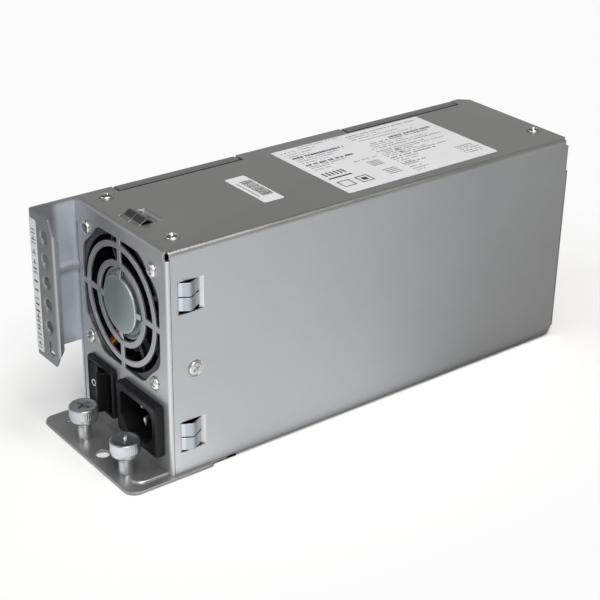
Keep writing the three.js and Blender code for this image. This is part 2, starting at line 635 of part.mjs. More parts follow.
function switchRocker() {
  // x, y from the pivot, before tilting
  const profile = [
    [-8.0, -1], [-7.9, -4.4], [-6.9, -10.2], [-3.6, -8.6], [0, -7.9], [3.6, -8.6],
    [6.9, -10.2], [7.9, -4.4], [8.0, -1], [3, 2.6], [-3, 2.6],
  ];
  const tilt = THREE.MathUtils.degToRad(-SWITCH_TILT);
  const tilted = profile.map(([x, y]) => [
    SWITCH_X + x * Math.cos(tilt) - y * Math.sin(tilt),
    SWITCH_PIVOT_Y + x * Math.sin(tilt) + y * Math.cos(tilt),
  ]);
  return slabZ(tilted, SWITCH_Z - 9.2, SWITCH_Z + 9.2);
}
addPart('switch_body', switchBody(), materials.plastic);
addPart('switch_rocker', switchRocker(), materials.plastic);

// ---------------------------------------------------------------- mains inlet
const PIN_SIZE = [2, 4];
const INLET_PINS = [
  { name: 'line', x: INLET_X + 7, z: INLET_Z + 1.5, tip: 2.6 },
  { name: 'neutral', x: INLET_X - 7, z: INLET_Z + 1.5, tip: 2.6 },
  { name: 'earth', x: INLET_X, z: INLET_Z - 2.5, tip: 0 },
];

function inletBody() {
  const at = [INLET_X, INLET_Z];
  const front = -INLET_BEZEL[2];
  const bezel = roundRect(...span(...at, INLET_BEZEL), 1.5, 3);
  const [x0, x1, z0, z1] = span(...at, INLET_CAVITY);
  // chamfers at the lower corners, upper right and upper left
  const lower = 5.2, upperRight = 2.6, upperLeft = 1.8;
  const cavity = [
    [x0 + lower, z0], [x1 - lower, z0], [x1, z0 + lower], [x1, z1 - upperRight],
    [x1 - upperRight, z1], [x0 + upperLeft, z1], [x0, z1 - upperLeft], [x0, z0 + lower],
  ];
  const pinSlot = PIN_SIZE.map((size) => size + 2 * FIT);
  const body = slabY(bezel, front, -FIT)
    .add(blockY(...at, [27.6, 20.4], -0.5, 15))
    .subtract(slabY(cavity, front - 1, front + INLET_CAVITY[2]));
  return subtractAll(body, INLET_PINS.map(({ x, z }) => blockY(x, z, pinSlot, 5, 20)));
}

function inletPin({ x, z, tip }) {
  // y, z
  const taper = [[tip, z - 1.2], [tip + 1.2, z - 2], [tip + 1.2, z + 2], [tip, z + 1.2]];
  return blockY(x, z, PIN_SIZE, tip + 1, 15)
    .add(slabX(taper, x - 1, x + 1))
    .add(blockY(x, z, [0.8, 4], 14.5, 23));
}
addPart('inlet_body', inletBody(), materials.plastic);
for (const pin of INLET_PINS) addPart(`inlet_pin_${pin.name}`, inletPin(pin), materials.nickel);

// ---------------------------------------------------------------- circuit board and its mounting
const STANDOFFS = [[7, 36], [63, 36], [7, 200], [63, 200]]; // x, y
const standoffHoles = (radius) => STANDOFFS.map((at) => circle(...at, radius, 12));
const mainPcb = slabZ(rect(3, 67, 31, 208), PCB_Z, PCB_TOP, standoffHoles(1.7));
const insulation = slabZ(rect(2.4, 67.6, 29, 212), BASE_T, BASE_T + 0.4, standoffHoles(3.2));
addPart('main_pcb', mainPcb, materials.pcb);
addPart('insulation_sheet', insulation, materials.sheet);

// radius, z
const PCB_SCREW_PROFILE = [
  [0, 3.2], [1.2, 3.4], [1.2, PCB_TOP], [2.7, PCB_TOP],
  [2.7, PCB_TOP + 0.9], [1.6, PCB_TOP + 1.7], [0, PCB_TOP + 1.8],
];
STANDOFFS.forEach((at, i) => {
  const standoff = slabZ(circle(...at, 2.8, 6), BASE_T, PCB_Z, [circle(...at, 1.5, 12)]);
  addPart(`pcb_standoff_${i + 1}`, standoff, materials.brass);
  addPart(`pcb_screw_${i + 1}`, latheZ(PCB_SCREW_PROFILE, 12, ...at), materials.screw);
});

// ---------------------------------------------------------------- components on the board
function canCapacitor(x, y, radius, height) {
  const top = PCB_TOP + height;
  return latheZ([
    [0, PCB_TOP], [radius - 0.5, PCB_TOP], [radius, PCB_TOP + 0.8],
    [radius, top - 0.8], [radius - 0.8, top], [0, top],
  ], 16, x, y);
}
addPart('bulk_capacitor_1', canCapacitor(18, 84, 12.5, 52), materials.capacitor);
addPart('bulk_capacitor_2', canCapacitor(18, 111, 12.5, 52), materials.capacitor);
addPart('output_capacitor', canCapacitor(50, 186, 6.3, 26), materials.capacitor);

// transformer: ferrite frame with the winding through it
const TRANSFORMER = [36, 146]; // x, y
const transformerBlock = (width, depth, low, high, x = 0) => slabZ(
  rect(...span(TRANSFORMER[0] + x, TRANSFORMER[1], [width, depth])), PCB_TOP + low, PCB_TOP + high,
);
const core = transformerBlock(38, 30, 0, 34)
  .subtract(transformerBlock(7, 32, 5, 29, -9.5))
  .subtract(transformerBlock(7, 32, 5, 29, 9.5));
const winding = transformerBlock(25.2, 42, 5.3, 28.7)
  .subtract(transformerBlock(12.8, 30.8, 4, 30));
addPart('transformer_core', core, materials.ferrite);
addPart('transformer_winding', winding, materials.tape);

// toroidal choke standing on edge
const choke = new THREE.TorusGeometry(11, 5.2, 8, 18)
  .rotateY(Math.PI / 2)
  .translate(44, 62, PCB_TOP + 16.2);
addPart('pfc_choke', toSolid(choke), materials.copper);

// backbone plate at x with fins reaching along direction (+1 or -1 in X), drawn as (x, z)
function heatsinkOutline({ x, direction, height, reach }) {
  const finPitch = 6.5, finT = 1.4;
  const top = PCB_TOP + height;
  const plateFace = x + direction * 3;
  const finTip = x + direction * reach;
  const points = [[x, PCB_TOP], [x, top], [plateFace, top]];
  for (let z = top - 3; z > PCB_TOP + 4; z -= finPitch) {
    points.push([plateFace, z], [finTip, z], [finTip, z - finT], [plateFace, z - finT]);
  }
  points.push([plateFace, PCB_TOP]);
  return points;
}
const primarySink = heatsinkOutline({ x: 64.5, direction: -1, height: 66, reach: 14 });
const secondarySink = heatsinkOutline({ x: 5, direction: 1, height: 62, reach: 13 });
const filmCapacitor = slabZ(roundRect(10, 34, 45, 56, 1, 2), PCB_TOP, PCB_TOP + 19);
addPart('heatsink_primary', slabY(primarySink, 80, 129), materials.aluminium);
addPart('heatsink_secondary', slabY(secondarySink, 169.5, 195.5), materials.aluminium);
addPart('bridge_rectifier', box(64.5, 67.9, 92, 114, PCB_TOP + 4, PCB_TOP + 26), materials.plastic);
addPart('x_capacitor', filmCapacitor, materials.tape);
addPart('fuse', cylinderY(56, PCB_TOP + 2.6, 2.6, 40, 60, 12), materials.ceramic);

// ---------------------------------------------------------------- output connector at the rear
const BLADES = { positive: [20.3, 22.7], return: [47.3, 49.7] }; // x limits
const BLADE_Z = [13.6, 25.0];
const BLADE_GAP = 0.3;

function outputConnector() {
  const x0 = 12.6, x1 = 57.4, z0 = PCB_TOP, z1 = 28.6;
  const body = box(x0, x1, CASE_D - 17, CASE_D + SHEET, z0, z1)
    .subtract(box(x0 + 1.8, x1 - 1.8, CASE_D - 9, CASE_D + 3, z0 + 2, z1 - 2));
  return subtractAll(body, Object.values(BLADES).map(([left, right]) => box(
    left - BLADE_GAP, right + BLADE_GAP, CASE_D - 20, CASE_D,
    BLADE_Z[0] - BLADE_GAP, BLADE_Z[1] + BLADE_GAP,
  )));
}
addPart('output_connector', outputConnector(), materials.plastic);
for (const [name, limits] of Object.entries(BLADES)) {
  const blade = box(...limits, CASE_D - 21, CASE_D - 1.5, ...BLADE_Z);
  addPart(`output_blade_${name}`, blade, materials.brass);
}

// ---------------------------------------------------------------- labels
const LABEL_T = 0.12;
const topLabel = (outline) => slabZ(outline, CASE_TOP, CASE_TOP + LABEL_T);
const flangeLabel = slabY(roundRect(0.8, 6.4, 37, 97, 0.8, 3), -EAR - LABEL_T, -EAR);
addPart('rating_label', topLabel(roundRect(7.5, 63, 94.2, 179, 1, 3)), materials.label);
addPart('barcode_label', topLabel(roundRect(21.7, 51, 59.8, 69.8, 0.8, 3)), materials.label);
addPart('flange_label', flangeLabel, materials.label);

export default root;
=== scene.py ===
# Looks for the AC power supply module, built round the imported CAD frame.
# Lengths are "case" millimetres: x from the left case side, y from the front face to the rear,
# z up from the underside of the base. Each finished piece is moved to the row frame, in metres,
# with the case centred on x and y.
import math
import random
from math import cos, pi, radians, sin

import bmesh
import bpy
from mathutils import Matrix, Vector

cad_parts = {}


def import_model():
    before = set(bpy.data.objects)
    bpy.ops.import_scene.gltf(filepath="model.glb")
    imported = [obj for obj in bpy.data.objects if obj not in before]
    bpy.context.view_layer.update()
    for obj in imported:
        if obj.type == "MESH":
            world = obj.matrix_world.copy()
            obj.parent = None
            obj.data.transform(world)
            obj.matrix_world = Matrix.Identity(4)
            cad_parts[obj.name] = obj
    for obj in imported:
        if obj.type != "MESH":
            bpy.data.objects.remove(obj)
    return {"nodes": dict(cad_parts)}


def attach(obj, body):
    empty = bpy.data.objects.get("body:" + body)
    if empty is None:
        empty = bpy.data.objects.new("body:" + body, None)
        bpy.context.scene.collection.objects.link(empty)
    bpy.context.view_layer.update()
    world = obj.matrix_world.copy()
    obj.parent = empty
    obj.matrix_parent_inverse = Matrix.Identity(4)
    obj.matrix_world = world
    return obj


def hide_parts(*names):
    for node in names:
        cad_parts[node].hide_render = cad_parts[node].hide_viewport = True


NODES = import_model()["nodes"]
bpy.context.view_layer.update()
COLLECTION = bpy.context.scene.collection

# ------------------------------------------------------------------ shared dimensions
CASE_WIDTH, CASE_LENGTH = 70.0, 217.0
TOP = 100.5            # outer face of the cover's top
SHEET = 1.0            # thickness of the case sheets
BASE_SHEET = 1.2       # thickness of the base plate
UNDER_TOP = TOP - SHEET

FAN = (34.5, 65.1)     # centres on the front face are (x, z)
FAN_X, FAN_Z = FAN
FAN_SCREW_OFFSET = 25
FAN_SCREWS = [
    (FAN_X + dx, FAN_Z + dz)
    for dx in (-FAN_SCREW_OFFSET, FAN_SCREW_OFFSET)
    for dz in (-FAN_SCREW_OFFSET, FAN_SCREW_OFFSET)
]
SWITCH = (18.6, 20.3)
INLET = (49.75, 20.05)
KNOB_XS, KNOB_Y = (22.0, 55.2), -12.7
TOP_SCREWS = [(8, 10.8), (57.5, 10.8), (52.5, 211.5)]    # (x, y)
SIDE_SCREW = (12.3, 47.8)                                # (y, z)
SCREW_HOLE = 1.7       # radius
LABEL_THICKNESS = 0.12
EAR_FACE = -21.0       # front face of the latching ear

TO_ROW = Matrix.Diagonal((0.001, 0.001, 0.001, 1.0)) @ Matrix.Translation(
    (-CASE_WIDTH / 2, -CASE_LENGTH / 2, 0.0)
)


# ------------------------------------------------------------------ 2-D outlines
def polar(centre, radius, angle, across=0.0):
    """Point at a radius and angle round a centre, set off sideways by across."""
    return (
        centre[0] + radius * cos(angle) - across * sin(angle),
        centre[1] + radius * sin(angle) + across * cos(angle),
    )


def circle(centre, radius, steps):
    return [polar(centre, radius, 2 * pi * i / steps) for i in range(steps)]


def fillet(corners, steps=None):
    """Closed outline from (first, second[, radius]) corners, each corner rounded."""
    outline = []
    for i, corner in enumerate(corners):
        radius = corner[2] if len(corner) > 2 else 0
        if radius <= 0:
            outline.append((corner[0], corner[1]))
            continue
        point = Vector(corner[:2])
        before = (Vector(corners[i - 1][:2]) - point).normalized()
        after = (Vector(corners[(i + 1) % len(corners)][:2]) - point).normalized()
        angle = before.angle(after)
        reach = radius / math.tan(angle / 2)
        centre = point + (before + after).normalized() * (radius / sin(angle / 2))
        start = point + before * reach - centre
        end = point + after * reach - centre
        first = math.atan2(start.y, start.x)
        sweep = (math.atan2(end.y, end.x) - first + pi) % (2 * pi) - pi
        count = steps or max(3, int(math.degrees(abs(sweep)) / 10))
        outline += [polar(centre, radius, first + sweep * j / count) for j in range(count + 1)]
    return outline


def rect(left, right, low, high, radius=0):
    """Rectangle; the radius may be four values, anticlockwise from the lower left."""
    radii = radius if isinstance(radius, tuple) else (radius,) * 4
    corners = ((left, low), (right, low), (right, high), (left, high))
    return fillet([(*corner, r) for corner, r in zip(corners, radii)])


def centred(centre, half_width, half_height, radius=0):
    x, y = centre
    return rect(x - half_width, x + half_width, y - half_height, y + half_height, radius)


def cut_corners(points, times):
    """Corner cutting of an open run of points; the ends stay."""
    for _ in range(times):
        finer = [points[0]]
        for one, two in zip(points, points[1:]):
            for share in (0.75, 0.25):
                finer.append(tuple(p * share + q * (1 - share) for p, q in zip(one, two)))
        finer.append(points[-1])
        points = finer
    return points


def spline(points, steps):
    """Catmull-Rom curve through 3-D or 2-D points."""
    knots = [Vector(p) for p in points]
    knots = [knots[0] * 2 - knots[1]] + knots + [knots[-1] * 2 - knots[-2]]
    curve = []
    for p0, p1, p2, p3 in zip(knots, knots[1:], knots[2:], knots[3:]):
        for j in range(steps):
            t = j / steps
            curve.append(0.5 * (
                (2 * p1) + (p2 - p0) * t
                + (2 * p0 - 5 * p1 + 4 * p2 - p3) * t * t
                + (3 * p1 - p0 - 3 * p2 + p3) * t * t * t
            ))
    curve.append(knots[-2])
    return curve


# ------------------------------------------------------------------ meshes
def place(axis, point, level):
    """3-D point from an outline point and its level along the axis."""
    first, second = point
    if axis == "x":
        return (level, first, second)
    if axis == "y":
        return (first, level, second)
    return (first, second, level)


def new_part(mesh):
    part = bpy.data.objects.new("part", mesh)
    COLLECTION.objects.link(part)
    return part


def solid(points, faces):
    mesh = bpy.data.meshes.new("part")
    mesh.from_pydata([tuple(p) for p in points], [], faces)
    bm = bmesh.new()
    bm.from_mesh(mesh)
    bmesh.ops.recalc_face_normals(bm, faces=bm.faces)
    bm.to_mesh(mesh)
    bm.free()
    return new_part(mesh)


def sides(count, rings):
    """Quads between successive rings of count points."""
    faces = []
    for start in range(0, (rings - 1) * count, count):
        for i in range(count):
            j = (i + 1) % count
            faces.append([start + i, start + j, start + count + j, start + count + i])
    return faces


def caps(count, rings):
    last = (rings - 1) * count
    return [list(range(count)), list(range(last, last + count))[::-1]]


def loft(axis, rings):
    """Closed body through outlines [(outline, level), ...] of equal length."""
    count = len(rings[0][0])
    points = [place(axis, point, level) for outline, level in rings for point in outline]
    return solid(points, sides(count, len(rings)) + caps(count, len(rings)))


def prism(axis, outline, low, high):
    return loft(axis, [(outline, low), (outline, high)])


def box(x0, x1, y0, y1, z0, z1):
    return prism("z", rect(x0, x1, y0, y1), z0, z1)


def drill(axis, centres, radius, steps, low, high):
    """Round cutters, one at each centre."""
    return [prism(axis, circle(centre, radius, steps), low, high) for centre in centres]


def lathe(axis, profile, steps, centre, loop=False):
    """Body of revolution from (radius, level) points; a radius of 0 is a pole."""
    points, faces, rings = [], [], []
    for radius, level in profile:
        outline = circle(centre, radius, steps) if radius > 1e-6 else [centre]
        rings.append(range(len(points), len(points) + len(outline)))
        points += [place(axis, point, level) for point in outline]
    pairs = list(zip(rings, rings[1:])) + ([(rings[-1], rings[0])] if loop else [])
    for one, two in pairs:
        for i in range(steps):
            j = (i + 1) % steps
            if len(one) == 1:
                faces.append([one[0], two[i], two[j]])
            elif len(two) == 1:
                faces.append([one[i], one[j], two[0]])
            else:
                faces.append([one[i], one[j], two[j], two[i]])
    return solid(points, faces)


def tube(path, radii, steps):
    """Round bar along a path, closed at both ends, with a steady frame."""
    points = []
    normal = (path[1] - path[0]).normalized().orthogonal().normalized()
    for k, centre in enumerate(path):
        tangent = (path[min(len(path) - 1, k + 1)] - path[max(0, k - 1)]).normalized()
        normal = (normal - tangent * normal.dot(tangent)).normalized()
        binormal = tangent.cross(normal)
        for i in range(steps):
            angle = 2 * pi * i / steps
            points.append(centre + (normal * cos(angle) + binormal * sin(angle)) * radii[k])
    return solid(points, sides(steps, len(path)) + caps(steps, len(path)))


def discard(part):
    mesh = part.data
    bpy.data.objects.remove(part)
    if mesh.users == 0:
        bpy.data.meshes.remove(mesh)


def join(parts):
    bm = bmesh.new()
    for part in parts:
        bm.from_mesh(part.data)
    mesh = bpy.data.meshes.new("joined")
    bm.to_mesh(mesh)
    bm.free()
    for part in parts:
        discard(part)
    return new_part(mesh)


def boolean(part, tool, operation):
    modifier = part.modifiers.new("boolean", "BOOLEAN")
    modifier.solver = "EXACT"
    modifier.operation = operation
    modifier.object = tool
    bpy.context.view_layer.update()
    graph = bpy.context.evaluated_depsgraph_get()
    mesh = bpy.data.meshes.new_from_object(part.evaluated_get(graph))
    part.modifiers.clear()
    old = part.data
    part.data = mesh
    bpy.data.meshes.remove(old)
    discard(tool)
    return part


def cut(part, tools):
    return boolean(part, join(tools), "DIFFERENCE")


def add(part, *others):
    for other in others:
        part = boolean(part, other, "UNION")
    return part


def split_at(part, axis, levels):
    """Divides a pierced sheet's flat faces so that no face holds a whole row of openings."""
    bm = bmesh.new()
    bm.from_mesh(part.data)
    normal = {"x": (1, 0, 0), "z": (0, 0, 1)}[axis]
    for level in levels:
        bmesh.ops.bisect_plane(
            bm, geom=bm.verts[:] + bm.edges[:] + bm.faces[:], dist=1e-5,
            plane_co=tuple(n * level for n in normal), plane_no=normal,
        )
    bm.to_mesh(part.data)
    bm.free()
    return part


def bevel_edges(part, width, segments, angle, clamp):
    modifier = part.modifiers.new("edge", "BEVEL")
    modifier.width = width / 1000.0
    modifier.segments = segments
    modifier.limit_method = "ANGLE"
    modifier.angle_limit = radians(angle)
    modifier.use_clamp_overlap = clamp
    modifier.harden_normals = True
    return modifier


def dress(part, finish):
    part.data.materials.clear()
    part.data.materials.append(FINISHES[finish].material)


def piece(part, name, finish, cad=None, body="chassis",
          bevel=0.0, segments=2, angle=30, merge=0.002):
    """Names, places, shades and bevels a finished mesh and ties it to its CAD body."""
    part.name = name
    part.data.name = name
    bm = bmesh.new()
    bm.from_mesh(part.data)
    bmesh.ops.remove_doubles(bm, verts=bm.verts, dist=merge)
    bmesh.ops.dissolve_degenerate(bm, edges=bm.edges, dist=merge)
    loose = [v for v in bm.verts if not v.link_faces]
    bmesh.ops.delete(bm, geom=loose, context="VERTS")
    bmesh.ops.recalc_face_normals(bm, faces=bm.faces)
    for face in bm.faces:
        face.smooth = True
        face.material_index = 0
    bm.to_mesh(part.data)
    bm.free()
    part.data.transform(TO_ROW)
    if bevel:
        modifier = bevel_edges(part, bevel, segments, angle, clamp=False)
        modifier.miter_outer = "MITER_ARC"
    else:
        part.data.set_sharp_from_angle(angle=radians(angle))
    dress(part, finish)
    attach(part, body)
    if cad:
        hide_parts(cad)
    return part


def weight_normals(part):
    """Lets the large faces lead the shading where a piece runs out into very thin edges."""
    part.modifiers["edge"].harden_normals = False
    modifier = part.modifiers.new("weight", "WEIGHTED_NORMAL")
    modifier.mode = "FACE_AREA"
    modifier.weight = 50
    modifier.keep_sharp = False


# ------------------------------------------------------------------ shader graphs
FINISHES = {}


def tint(colour, factor):
    return tuple(min(1.0, channel * factor) for channel in colour)


class Graph:
    """A node tree with short calls for the nodes used here."""

    def __init__(self, tree):
        self.tree = tree
        tree.nodes.clear()

    def feed(self, node, inputs):
        """Links each input that is given a socket and sets the others."""
        for key, source in inputs.items():
            if isinstance(source, bpy.types.NodeSocket):
                self.tree.links.new(source, node.inputs[key])
            else:
                node.inputs[key].default_value = source

    def node(self, kind, inputs=None, **settings):
        node = self.tree.nodes.new("ShaderNode" + kind)
        for key, value in settings.items():
            setattr(node, key, value)
        self.feed(node, inputs or {})
        return node

    def math(self, operation, first, second=0.0):
        return self.node("Math", {0: first, 1: second}, operation=operation).outputs[0]

    def span(self, source, start, end, low=0.3, high=0.7):
        """Runs from start to end as the source runs from low to high."""
        return self.node("MapRange", {
            "From Min": low, "From Max": high, "To Min": start, "To Max": end, "Value": source,
        }).outputs[0]

    def ramp(self, source, stops):
        node = self.node("ValToRGB", {0: source})
        elements = node.color_ramp.elements
        while len(elements) < len(stops):
            elements.new(0.5)
        for element, (position, colour) in zip(elements, stops):
            element.position = position
            element.color = (*colour, 1)
        return node.outputs[0]

    def mix_shaders(self, factor, first, second):
        return self.node("MixShader", {0: factor, 1: first, 2: second}).outputs[0]


class Finish(Graph):
    """A material with a Principled shader in object coordinates, kept in FINISHES."""

    def __init__(self, name):
        self.material = bpy.data.materials.new(name)
        self.material.use_nodes = True
        super().__init__(self.material.node_tree)
        self.output = self.node("OutputMaterial")
        self.shader = self.node("BsdfPrincipled")
        self.feed(self.output, {0: self.shader.outputs[0]})
        self.coords = self.node("TexCoord").outputs["Object"]
        FINISHES[name] = self

    def surface(self, inputs):
        self.feed(self.shader, inputs)

    def stretched(self, stretch):
        return self.node("Mapping", {"Scale": stretch, 0: self.coords}).outputs[0]

    def noise(self, scale, stretch=(1, 1, 1), detail=2.0, roughness=0.5):
        return self.node("TexNoise", {
            "Vector": self.stretched(stretch),
            "Scale": scale, "Detail": detail, "Roughness": roughness,
        }).outputs["Fac"]

    def xyz(self):
        return self.node("SeparateXYZ", {0: self.coords}).outputs

    def bump(self, *layers):
        """Stacked relief from (height, strength, distance in metres) layers."""
        normal = None
        for height, strength, distance in layers:
            inputs = {"Height": height, "Strength": strength, "Distance": distance}
            if normal is not None:
                inputs["Normal"] = normal
            normal = self.node("Bump", inputs).outputs[0]
        self.surface({"Normal": normal})

    def blend_colour(self, factor, colour, blend="MIX"):
        """Blends a colour into the present base colour."""
        present = self.shader.inputs["Base Color"].links[0].from_socket
        # 6 and 7 are the two colour inputs, output 2 the colour result
        inputs = {"Factor": factor, 6: present, 7: (*colour, 1)}
        node = self.node("Mix", inputs, data_type="RGBA", blend_type=blend)
        self.surface({"Base Color": node.outputs[2]})


def metal(name, base, roughness, grain=(1, 1, 1), variation=0.06, metallic=1.0, relief=0.05,
          smudge=0.06):
    """Plated metal: mottled plating, fine grain along one axis, faint handling smudges."""
    finish = Finish(name)
    big = finish.noise(scale=28, detail=3)
    medium = finish.noise(scale=260)
    fine = finish.noise(scale=900, stretch=grain, roughness=0.6)
    big_share = finish.math("MULTIPLY", big, 0.5)
    fine_share = finish.math("MULTIPLY", fine, 0.35)
    medium_share = finish.math("MULTIPLY", medium, 0.15)
    mottle = finish.math("ADD", finish.math("ADD", big_share, fine_share), medium_share)
    smear = finish.noise(scale=14, detail=4, roughness=0.6)
    finish.surface({
        "Base Color": finish.ramp(
            mottle, [(0.34, tint(base, 1 - variation)), (0.66, tint(base, 1 + variation))]
        ),
        "Metallic": metallic,
        "Roughness": finish.math(
            "ADD",
            finish.span(fine, roughness - 0.03, roughness + 0.03),
            finish.span(smear, -smudge * 0.5, smudge * 0.5),
        ),
    })
    finish.bump((fine, relief, 0.00004), (medium, relief * 0.8, 0.00005))


def plastic(name, base, roughness=0.42, relief=0.18, scale=2600, variation=0.12, specular=0.5):
    """Moulded plastic with a fine even grain."""
    finish = Finish(name)
    fine = finish.noise(scale=scale)
    big = finish.noise(scale=60, detail=3)
    finish.surface({
        "Base Color": finish.ramp(
            big, [(0.35, tint(base, 1 - variation)), (0.65, tint(base, 1 + variation))]
        ),
        "Roughness": finish.span(big, roughness - 0.06, roughness + 0.06),
        "Specular IOR Level": specular,
    })
    finish.bump((fine, relief, 0.00003))


def paper(name, base, roughness=0.38):
    finish = Finish(name)
    big = finish.noise(scale=45, detail=4)
    fine = finish.noise(scale=1800)
    finish.surface({
        "Base Color": finish.ramp(big, [(0.3, tint(base, 0.965)), (0.7, base)]),
        "Roughness": finish.span(big, roughness - 0.05, roughness + 0.08),
    })
    finish.bump((fine, 0.05, 0.00002), (big, 0.04, 0.0002))


def banded(name, base, dark, stretch, roughness, metallic=0.0):
    """Wound wire or tape: bands along one axis."""
    finish = Finish(name)
    bands = finish.node("TexWave", {
        "Vector": finish.stretched(stretch), "Scale": 1.0, "Distortion": 0.6,
    }).outputs["Fac"]
    finish.surface({
        "Base Color": finish.ramp(bands, [(0.1, dark), (0.7, base)]),
        "Metallic": metallic,
        "Roughness": roughness,
    })
    finish.bump((bands, 0.35, 0.0002))


def paint_light_region(name, colour, limits, metallic=None):
    """Paints light or shade into a finish: multiplies it by a colour within limits given in metres in
    the row frame.

    Each limit is (axis, effect at low, effect at high, low, high).
    """
    finish = FINISHES[name]
    xyz = finish.xyz()
    factor = None
    for axis, start, end, low, high in limits:
        share = finish.span(xyz[axis], start, end, low, high)
        factor = share if factor is None else finish.math("MULTIPLY", factor, share)
    finish.blend_colour(factor, colour, blend="MULTIPLY")
    if metallic is not None:
        present = finish.shader.inputs["Metallic"].default_value
        finish.surface({"Metallic": finish.span(factor, present, metallic, 0.0, 1.0)})


def tint_disc(name, centre, inner, outer, colour):
    """Lays a thin tinted film over the part of a sheet round an axis along y, in metres."""
    finish = FINISHES[name]
    xyz = finish.xyz()
    dx = finish.math("SUBTRACT", xyz["X"], centre[0])
    dz = finish.math("SUBTRACT", xyz["Z"], centre[1])
    squares = finish.math("ADD", finish.math("MULTIPLY", dx, dx), finish.math("MULTIPLY", dz, dz))
    radius = finish.math("SQRT", squares)
    finish.blend_colour(finish.span(radius, 1.0, 0.0, inner, outer), colour)


# ------------------------------------------------------------------ materials
metal("steel_cover", (0.50, 0.503, 0.505), roughness=0.38, grain=(1.0, 0.035, 1.0),
      variation=0.03, metallic=0.96, relief=0.035)
metal("steel_front", (0.46, 0.465, 0.475), roughness=0.42, grain=(0.05, 1.0, 1.0),
      variation=0.03, metallic=0.88, relief=0.035)
# the ear's darker base colour, kept on its front flange, is painted shade; the plate is painted
# lighter further down
metal("steel_ear", (0.285, 0.29, 0.30), roughness=0.42, grain=(1.0, 0.05, 1.0),
      variation=0.035, metallic=0.8, relief=0.035)
metal("steel_base", (0.42, 0.42, 0.425), roughness=0.32, grain=(1.0, 0.04, 1.0),
      variation=0.04, metallic=0.82, relief=0.02, smudge=0.08)
metal("steel_dark", (0.30, 0.30, 0.30), roughness=0.42, grain=(0.05, 1.0, 1.0),
      variation=0.05, metallic=0.85)
metal("nickel", (0.40, 0.405, 0.415), roughness=0.33, grain=(1.0, 1.0, 0.2),
      variation=0.05, metallic=0.95)
metal("screw_steel", (0.60, 0.60, 0.58), roughness=0.30, variation=0.08, relief=0.06)
metal("pin_nickel", (0.75, 0.74, 0.71), roughness=0.25, grain=(1, 0.1, 1), variation=0.05)
metal("brass", (0.72, 0.52, 0.22), roughness=0.28, grain=(1, 0.1, 1))
metal("aluminium", (0.62, 0.63, 0.64), roughness=0.36, grain=(1, 0.05, 1), variation=0.05)
plastic("black_plastic", (0.0065, 0.0065, 0.0075), specular=0.2)
plastic("rocker_plastic", (0.0035, 0.0035, 0.0042), roughness=0.32, relief=0.08, specular=0.09)
plastic("fan_plastic", (0.0075, 0.008, 0.0095), roughness=0.27, relief=0.08, specular=0.42)
plastic("impeller_plastic", (0.010, 0.011, 0.013), roughness=0.26, relief=0.06, specular=0.4)
paper("hub_label", (0.26, 0.32, 0.295), roughness=0.42)
paper("label", (0.665, 0.67, 0.695))
paper("ink", (0.035, 0.035, 0.038), roughness=0.5)
paper("ink_grey", (0.26, 0.26, 0.27), roughness=0.5)
paper("mark_white", (0.72, 0.72, 0.70), roughness=0.45)
plastic("red_wire", (0.42, 0.035, 0.025), roughness=0.35, variation=0.1)
plastic("yellow_wire", (0.55, 0.28, 0.03), roughness=0.35, variation=0.1)
plastic("black_wire", (0.015, 0.015, 0.015), roughness=0.35)
plastic("pcb_green", (0.012, 0.09, 0.035), roughness=0.35, relief=0.3, scale=900, variation=0.3)
plastic("insulator", (0.62, 0.57, 0.40), roughness=0.45, variation=0.05)
plastic("ferrite", (0.045, 0.045, 0.048), roughness=0.6, relief=0.4, scale=1800, variation=0.2)
banded("copper_wire", (0.55, 0.24, 0.09), dark=(0.25, 0.09, 0.03), stretch=(60, 900, 60),
       roughness=0.35, metallic=0.7)
banded("tape", (0.58, 0.44, 0.07), dark=(0.42, 0.30, 0.04), stretch=(40, 40, 420), roughness=0.42)
plastic("capacitor_sleeve", (0.012, 0.016, 0.030), roughness=0.25, relief=0.05, variation=0.15)
plastic("fuse_ceramic", (0.66, 0.64, 0.58), roughness=0.4, variation=0.06)

# painted light and shade on the side sheet: its plate is painted about twice as light and less
# metallic, while the ear's front flange and the plate next to it keep the darker base colour as
# painted shade
paint_light_region("steel_ear", (1.95, 2.05, 2.2), [
    ("X", 1.0, 0.0, -0.0335, -0.0325),
    ("Y", 0.0, 1.0, -0.1195, -0.1165),
    ("Z", 1.0, 0.0, 0.0988, 0.0998),
], metallic=0.6)
tint_disc("steel_front", ((FAN_X - CASE_WIDTH / 2) / 1000, FAN_Z / 1000),
          inner=0.0111, outer=0.0117, colour=(0.36, 0.43, 0.405))
# painted shade on the bridge strips: dark where they stand above the top, darker and bluish where
# they stand beyond the right side
paint_light_region("steel_cover", (0.34, 0.34, 0.345), [("Z", 0.0, 1.0, 0.10065, 0.1009)])
paint_light_region("steel_cover", (0.70, 0.745, 0.80), [("X", 0.0, 1.0, 0.03508, 0.0353)])
# painted shade, near black, on the inner ends of the side sheet's top tabs, where the gap beside the
# cover lies in shadow
paint_light_region("steel_ear", (0.10, 0.10, 0.105), [
    ("X", 0.0, 1.0, -0.02950, -0.02944),
    ("Y", 0.0, 1.0, -0.09, -0.088),
])


# ------------------------------------------------------------------ wrapped cover
COVER_FRONT = 1.7
COVER_RADIUS = 2.2      # outer bend radius
BRIDGE_SLOT = (4.6, 17.1)                   # front and rear end of a bridge's slot
SIDE_BRIDGES = ((11.1, 25.1), (73.2, 87.2))    # low and high z
TOP_BRIDGE = (27.6, 41.4)                      # low and high x
BRIDGE_SHEET = 0.85
